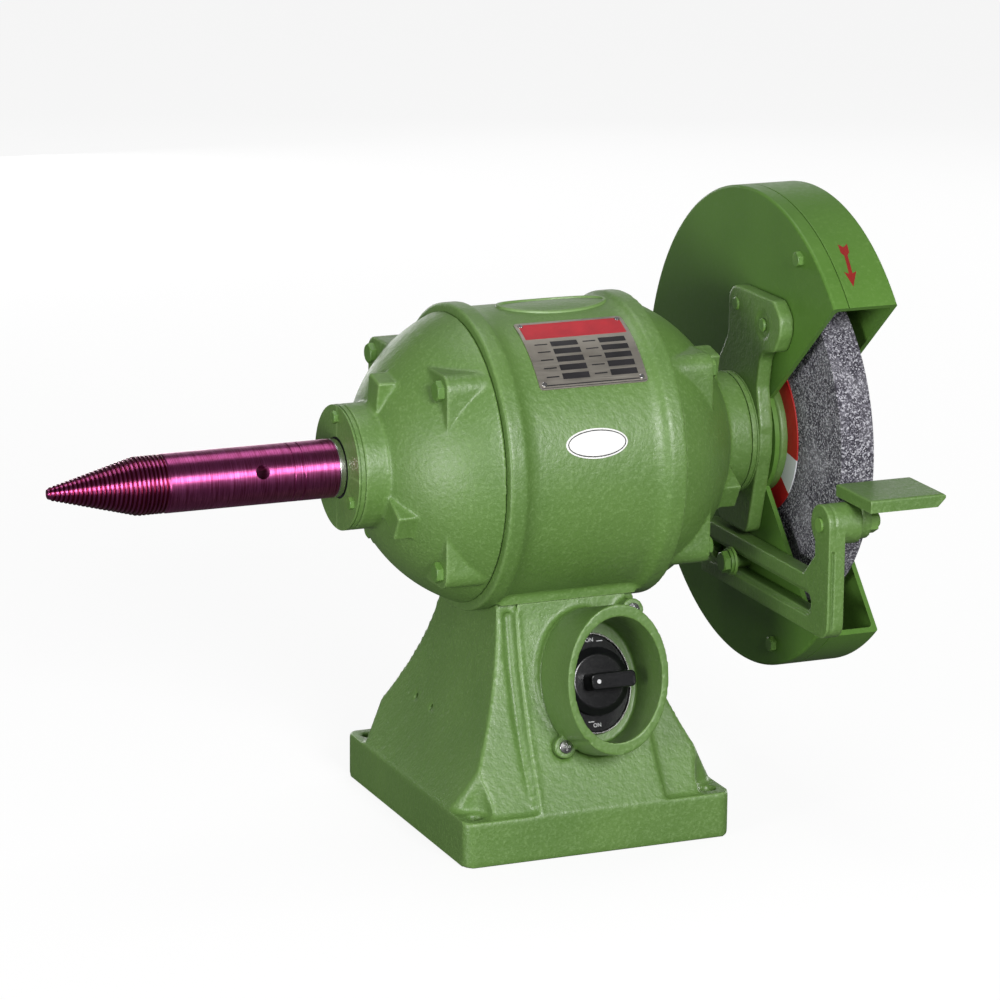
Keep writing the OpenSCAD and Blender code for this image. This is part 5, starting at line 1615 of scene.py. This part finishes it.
@dataclass
class Guard(Unit):
    """The wheel guard with its bracket."""

    bracket_voxel: float = 1.0
    bracket_x: Pair = (152.1, 162.9)
    bracket_hub_r: float = 44.0
    cap_t: float = 3.5
    seam_gap: float = 0.15
    arrow_angle: float = 58.5
    arrow_x: float = 189.5
    arrow_slant: float = 0.16
    radius: float = 173.3
    rise: float = 3.0
    inner_x: float = 163.0
    seam_x: float = 175.0
    outer_x: float = 212.5
    side_t: float = 3.5
    rim_t: float = 4.0
    mouth: Pair = (40.9, -46.6)
    hole_r: float = 41.5
    lip_r: float = 47.0
    hub_disc_r: float = 52.0
    cap_r: float = 36.0
    cap_end: float = 228.0
    screw_circle: float = 158.0
    screw_angles: Triple = (60.0, 178.0, -71.0)
    bolt_places: tuple[Pair, Pair] = ((-1.5, 94.0), (-44.5, 87.0))
    bracket_points: tuple[Pair, ...] = (
        (12, 107), (-60, 107), (-72, 97), (-72, 84), (-64, 71), (-42, 66), (-37, 40), (-44, 12),
        (-40, -20), (-33, -45), (-26, -70), (20, -70), (30, -45), (46, 0), (40, 30), (12, 70),
    )
    bracket_radii: tuple[float, ...] = (13, 8, 12, 12, 10, 12, 10, 14, 20, 20, 8, 8, 14, 20, 14, 12)

    def frame(self) -> Matrix:
        """The guard's own axis, a little above the shaft."""
        return Matrix.Translation((0, 0, self.rise)) @ shaft_frame()

    def build(self) -> None:
        """Builds the guard's halves, bracket, arrow and screws."""
        self.shell()
        self.cover()
        self.bracket()
        self.arrow()
        self.screws()

    def mouth_cutter(self, keep_r: float, low: float, high: float) -> bpy.types.Object:
        """Makes the wedge that opens the mouth.

        Args:
            keep_r: Radius of the disc that stays.
            low: The wedge's left end along the shaft.
            high: Its right end.

        Returns:
            The wedge.
        """
        top, bottom = self.mouth
        reach = 2 * self.radius
        far = [(-reach * math.cos(math.radians(a)), reach * math.sin(math.radians(a))) for a in (bottom, 0.0, top)]
        return Form().prism(arc(keep_r, top, bottom, 40) + far, low, high, shaft_frame()).piece("mouth")

    def pan(self, name: str, face: float, seam: float) -> bpy.types.Object:
        """Turns one half of the guard as a side plate with a rim.

        Args:
            name: The half's name.
            face: Where the side plate's outer face lies along the shaft.
            seam: Where the two halves meet.

        Returns:
            The half, closed all round.
        """
        r, way = self.radius, 1 if seam > face else -1
        inner, lip, back = r - self.rim_t, seam - way * self.seam_gap, face + way * self.side_t
        outline = [(0, face), (r, face), (r, lip), (inner, lip), (inner, back), (0, back)]
        profile = rounded(outline, [0, 2.2, 0.7, 0.5, 3.0, 0], 5)
        return Form().lathe(profile, self.frame(), 240, False).piece(name)

    def shell(self) -> None:
        """Makes the inner half: side plate and a narrow rim, open at the mouth."""
        x0, x1 = self.inner_x, self.seam_x
        shell = self.pan("guard_inner_shell", x0, x1)
        hole = Form().rod(Vector((x0 - 2, 0, SHAFT_H)), Vector((x1, 0, SHAFT_H)), self.hole_r, 96)
        Bench.boolean(shell, hole.piece("hole"))
        Bench.boolean(shell, self.mouth_cutter(self.lip_r, x0 - 2, x1 + 2))
        Bench.bevel(shell, 0.8, 2, 45)
        self.dresser.seat(shell, Body.MACHINE, Finish.GREEN_SHEET, "guard_shell", sharp=35.0)

    def cover(self) -> None:
        """Makes the outer half: side plate, wide rim and the domed cap over the wheel nut."""
        x0, x1 = self.seam_x, self.outer_x
        c, end, thick = self.cap_r, self.cap_end, self.cap_t
        cover = self.pan("guard_outer_cover", x1, x0)
        Bench.boolean(cover, self.mouth_cutter(self.hub_disc_r, x0 - 2, x1 + 2))
        bore = Form().rod(Vector((x0, 0, SHAFT_H)), Vector((x1 + 2, 0, SHAFT_H)), c - thick, 96)
        Bench.boolean(cover, bore.piece("bore"))
        Bench.bevel(cover, 0.8, 2, 45)
        cap = [(c - thick, x1 - 3.4), (c + 3, x1 - 0.6), (c + 3, x1 + 0.5), (c, x1 + 3), (c, end), (0, end)]
        profile = rounded(cap, [0, 0.3, 1.0, 3.0, 4.0, 0], 5) + [(0, end - thick), (c - thick, end - thick)]
        form = Form().lathe(profile, shaft_frame(), 96)
        for angle in self.screw_angles:
            start = on_circle(self.inner_x + self.side_t + 0.02, self.screw_circle, angle, self.rise)
            form.rod(start, on_circle(x1 - 1, self.screw_circle, angle, self.rise), 6.5, 40)
        whole = Bench.gather([cover, form.piece("cap")], "guard_outer_cover_shell")
        self.dresser.seat(whole, Body.MACHINE, Finish.GREEN_SHEET, "guard_cover", sharp=35.0)

    def bracket(self) -> None:
        """Casts the arm that carries the guard on the bearing cap."""
        frame = shaft_frame()
        low, high = self.bracket_x
        form = Form().prism(rounded(self.bracket_points, self.bracket_radii, 6), low, high, frame)
        form.lathe(rectangle(0, low, self.bracket_hub_r, high), frame, 96, False)
        bracket = form.piece("guard_bracket_casting")
        y, z = self.bolt_places[1]
        pocket = Form().rod(Vector((150, y, SHAFT_H + z)), Vector((153.4, y, SHAFT_H + z)), 10.5, 48)
        Bench.boolean(bracket, pocket.piece("pocket"), True)
        hole = Form().rod(Vector((150, 0, SHAFT_H)), Vector((166, 0, SHAFT_H)), self.cap_r - 14.5, 64)
        Bench.cast(Bench.boolean(bracket, hole.piece("hole"), True), self.bracket_voxel, 4)
        self.dresser.seat(bracket, Body.MACHINE, Finish.GREEN_CAST, "guard_bracket", sharp=60.0)

    def arrow(self) -> None:
        """Paints the red arrow of the wheel's turn on the rim."""
        half = [(0, 3.0), (3.6, 0), (3.2, 8.5), (1.3, 11.0), (1.4, 27.5), (4.6, 26.0), (0, 38.7)]
        shape = half + [(-x, v) for x, v in half[-2:0:-1]]

        def bend(flat: Vector, raised: bool) -> Vector:
            """Lays a flat point on the guard's rim."""
            angle = self.arrow_angle - math.degrees(flat.y / self.radius)
            level = self.radius + (0.12 if raised else -0.05)
            return on_circle(self.arrow_x + flat.x - self.arrow_slant * flat.y, level, angle, self.rise)

        arrow = Form().sheet(shape, [3.0 * k for k in range(1, 13)], bend)
        self.dresser.seat(arrow.piece("turn_arrow"), Body.MACHINE, Finish.ARROW_RED)

    def screws(self) -> None:
        """Sets the guard's screws, the bracket's bolts and their nuts."""
        left, right = Vector((-1, 0, 0)), Vector((1, 0, 0))
        places = [(on_circle(self.inner_x, self.screw_circle, a, self.rise), left) for a in self.screw_angles]
        self.fasteners.set_on(
            "guard_hex_screws", places, Finish.GREEN_BOLT, Body.MACHINE, "guard_screws",
            flats=10, head=4, shank=3, length=26,
        )
        places = [(Vector((152.0, y, SHAFT_H + z)), left) for y, z in self.bolt_places]
        self.fasteners.set_on(
            "bracket_bolts", places, Finish.GREEN_BOLT, Body.MACHINE, "guard_bracket_bolts",
            flats=8.5, head=1.1, shank=3.9, length=20, sides=32, edge=0.5,
        )
        places = [(Vector((166.5, y, SHAFT_H + z)), right) for y, z in self.bolt_places]
        self.fasteners.set_on(
            "bracket_nuts", places, Finish.STEEL, Body.MACHINE, "guard_bracket_nuts",
            flats=16, head=5.5, shank=4, length=0.1,
        )


@dataclass
class ToolRest(Unit):
    """The sliding bracket, its clamp bolt and the tilting rest plate."""

    slot_z: float = -94.5
    clamp_y: float = -8.0
    pivot: Pair = (-145.5, -34.0)
    foot_centre: Pair = (-148.0, -102.5)
    foot_r: float = 12.0
    plate_voxel: float = 1.0
    slide_voxel: float = 0.8

    def build(self) -> None:
        """Builds the tool rest."""
        self.sliding_bracket()
        self.table()
        self.hardware()

    def sliding_bracket(self) -> None:
        """Casts the slotted bar and its arm, with the parting groove down the arm's front."""
        bracket = Bench.copy("rest_bracket", "rest_slide_casting")
        z = SHAFT_H
        groove = Form().block((152.6, -163, z - 112), (154.8, -157.8, z - 50))
        Bench.boolean(bracket, groove.piece("groove"))
        (y, up), r = self.foot_centre, self.foot_r
        foot = [(-161.0, -116.0), (y, -116.0), (y, -114.5)]
        turns = [math.radians(a) for a in range(260, 179, -10)]
        foot += [(y + r * math.cos(t), up + r * math.sin(t)) for t in turns]
        foot.append((-161.0, up))
        Bench.boolean(bracket, Form().prism(foot, 149.0, 164.0, shaft_frame()).piece("foot"))
        ledge = rounded(rectangle(-134, -103.5, 38, -85.5), 8.5, 6)
        Bench.boolean(bracket, Form().prism(ledge, 149.0, 152.2, shaft_frame()).piece("ledge"))
        pivot_frame = Matrix.Translation((0, *self.pivot)) @ shaft_frame()
        collar = Form().lathe(rectangle(13.2, 154.6, 16, 156.2), pivot_frame, 64)
        Bench.boolean(bracket, collar.piece("collar"))
        Bench.cast(bracket, self.slide_voxel, 3)
        self.dresser.seat(bracket, Body.REST_SLIDE, Finish.GREEN_CAST, "rest_bracket", sharp=60.0)

    def table(self) -> None:
        """Casts the rest plate with its eye."""
        plate = Bench.copy("rest_plate", "rest_table_casting")
        Bench.cast(plate, self.plate_voxel, 3)
        self.dresser.seat(plate, Body.REST_TABLE, Finish.GREEN_CAST, "rest_plate", sharp=60.0)

    def hardware(self) -> None:
        """Sets the clamp bolt with its flange, the washer, the pivot stud and the nuts."""
        z = SHAFT_H + self.slot_z
        seat = [(Vector((147.7, self.clamp_y, z)), Vector((-1, 0, 0)))]
        self.fasteners.set_on(
            "clamp_bolt", seat, Finish.GREEN_BOLT, Body.MACHINE, "rest_clamp_bolt",
            flats=14, head=7, shank=5, length=25.8, flange=(9.2, 2.2), edge=0.6,
        )
        self.dresser.nodes(Finish.GREEN_BOLT, "rest_clamp_washer", "rest_pivot_bolt", "rest_pivot_nut")
        self.dresser.nodes(Finish.STEEL, "rest_clamp_nut")


@dataclass(frozen=True)
class Lamp:
    """A soft lamp: its name, place and size in metres, and power in watts."""

    name: str
    place: Triple
    size: float
    power: float


@dataclass
class Studio:
    """The camera, the floor and the lights."""

    position: Triple = (-1.19652, -2.77586, 1.00423)
    azimuth: float = 22.811
    elevation: float = 14.439
    roll: float = 0.468
    lens: float = 158.67
    floor_seen: float = 0.88
    floor_mirrored: float = 0.04
    surround_soft: float = 0.31
    surround_mirrored: float = 0.16
    surround_seen: float = 1.0
    aim: Triple = (0.0, 0.0, 0.22)
    lamps: tuple[Lamp, ...] = (
        Lamp("key", (0.0, -2.7, 1.3), 1.1, 80.0),
        Lamp("left", (-2.0, -0.95, 0.26), 0.9, 31.0),
        Lamp("top", (0.0, 0.6, 2.6), 1.4, 15.0),
        Lamp("back", (1.1, 2.5, 0.95), 1.4, 6.0),
        Lamp("rear", (0.1, 2.7, 0.35), 1.0, 12.0),
        Lamp("right", (2.6, 1.2, 0.6), 1.2, 24.0),
    )

    def camera(self) -> None:
        """Sets the camera at the photograph's angle."""
        a, e, r = (math.radians(v) for v in (self.azimuth, self.elevation, self.roll))
        back = Vector((-math.sin(a) * math.cos(e), -math.cos(a) * math.cos(e), math.sin(e)))
        right = (-back).cross(Vector((0, 0, 1))).normalized()
        up = right.cross(-back)
        side = right * math.cos(r) + up * math.sin(r)
        top = up * math.cos(r) - right * math.sin(r)
        data = bpy.data.cameras.new("camera")
        data.lens, data.sensor_width = self.lens, 36.0
        data.clip_start, data.clip_end = 0.05, 60.0
        camera = placed("camera", data)
        camera.matrix_world = Matrix.Translation(self.position) @ Matrix((side, top, back)).transposed().to_4x4()
        bpy.context.scene.camera = camera

    def floor(self) -> None:
        """Lays a plain pale floor that keeps a soft shadow of the machine."""
        form = bmesh.new()
        bmesh.ops.create_grid(form, x_segments=2, y_segments=2, size=20.0)
        floor = settled(form, "floor")
        floor.location = (0, 0, -0.0004)
        recipe = Recipe("pale_floor")
        cloud = recipe.noise(900.0, 2.0)
        path = recipe.node("LightPath")
        pale = recipe.mix(recipe.ramp(cloud, 0.3, 0.7), "#fbfbfb", "#ffffff")
        below = recipe.mix(path.outputs["Is Glossy Ray"], "#808080", "#4a4a4a")
        tone = recipe.mix(path.outputs["Is Camera Ray"], below, pale)
        matt = recipe.node("BsdfDiffuse", {"Color": tone}).outputs[0]
        glow = recipe.node("Emission", {"Color": (1, 1, 1, 1), "Strength": 1.0}).outputs[0]
        mirrored = recipe.math("MULTIPLY", path.outputs["Is Glossy Ray"], self.floor_mirrored)
        seen = recipe.math("MULTIPLY", path.outputs["Is Camera Ray"], self.floor_seen)
        share = recipe.math("MAXIMUM", seen, mirrored)
        both = recipe.node("MixShader", {0: share, 1: matt, 2: glow}).outputs[0]
        recipe.tree.links.new(both, recipe.output.inputs[0])
        floor.data.materials.append(recipe.material)

    def surround(self) -> None:
        """Makes the surround: soft light, dimmer where metal and paint mirror it, and white where it is seen."""
        world = bpy.data.worlds.new("surround")
        bpy.context.scene.world = world
        world.use_nodes = True
        tree = world.node_tree
        tree.nodes.clear()
        rays = add_node(tree, "ShaderNodeLightPath", {}).outputs
        straight = {0: rays["Is Camera Ray"], 1: rays["Is Transmission Ray"]}
        seen = add_node(tree, "ShaderNodeMath", straight, operation="MAXIMUM").outputs[0]
        soft, mirrored, white = (
            add_node(tree, "ShaderNodeBackground", {1: strength}).outputs[0]
            for strength in (self.surround_soft, self.surround_mirrored, self.surround_seen)
        )
        calm = add_node(tree, "ShaderNodeMixShader", {0: rays["Is Glossy Ray"], 1: soft, 2: mirrored}).outputs[0]
        mixed = add_node(tree, "ShaderNodeMixShader", {0: seen, 1: calm, 2: white}).outputs[0]
        add_node(tree, "ShaderNodeOutputWorld", {0: mixed})

    def lights(self) -> None:
        """Hangs the soft lamps, which all look at the machine."""
        for lamp in self.lamps:
            data = bpy.data.lights.new(lamp.name, "AREA")
            data.shape = "DISK"
            data.size = lamp.size
            data.energy = lamp.power
            obj = placed(lamp.name, data)
            obj.location = lamp.place
            obj.rotation_euler = (Vector(self.aim) - Vector(lamp.place)).to_track_quat("-Z", "Y").to_euler()


def main() -> None:
    """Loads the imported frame, builds every sub-assembly on it and sets the studio."""
    logging.basicConfig(level=logging.INFO, format="%(name)s: %(message)s")
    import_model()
    studio = Studio()
    studio.camera()
    dresser = Dresser()
    fasteners = Fasteners(dresser)
    for kind in (Pedestal, SwitchUnit, Motor, Rotor, Guard, ToolRest):
        LOG.info("building %s", kind.__name__)
        kind(dresser, fasteners).build()
    studio.floor()
    studio.surround()
    studio.lights()
    bpy.context.scene.view_settings.view_transform = "Standard"


if __name__ == "__main__":
    main()
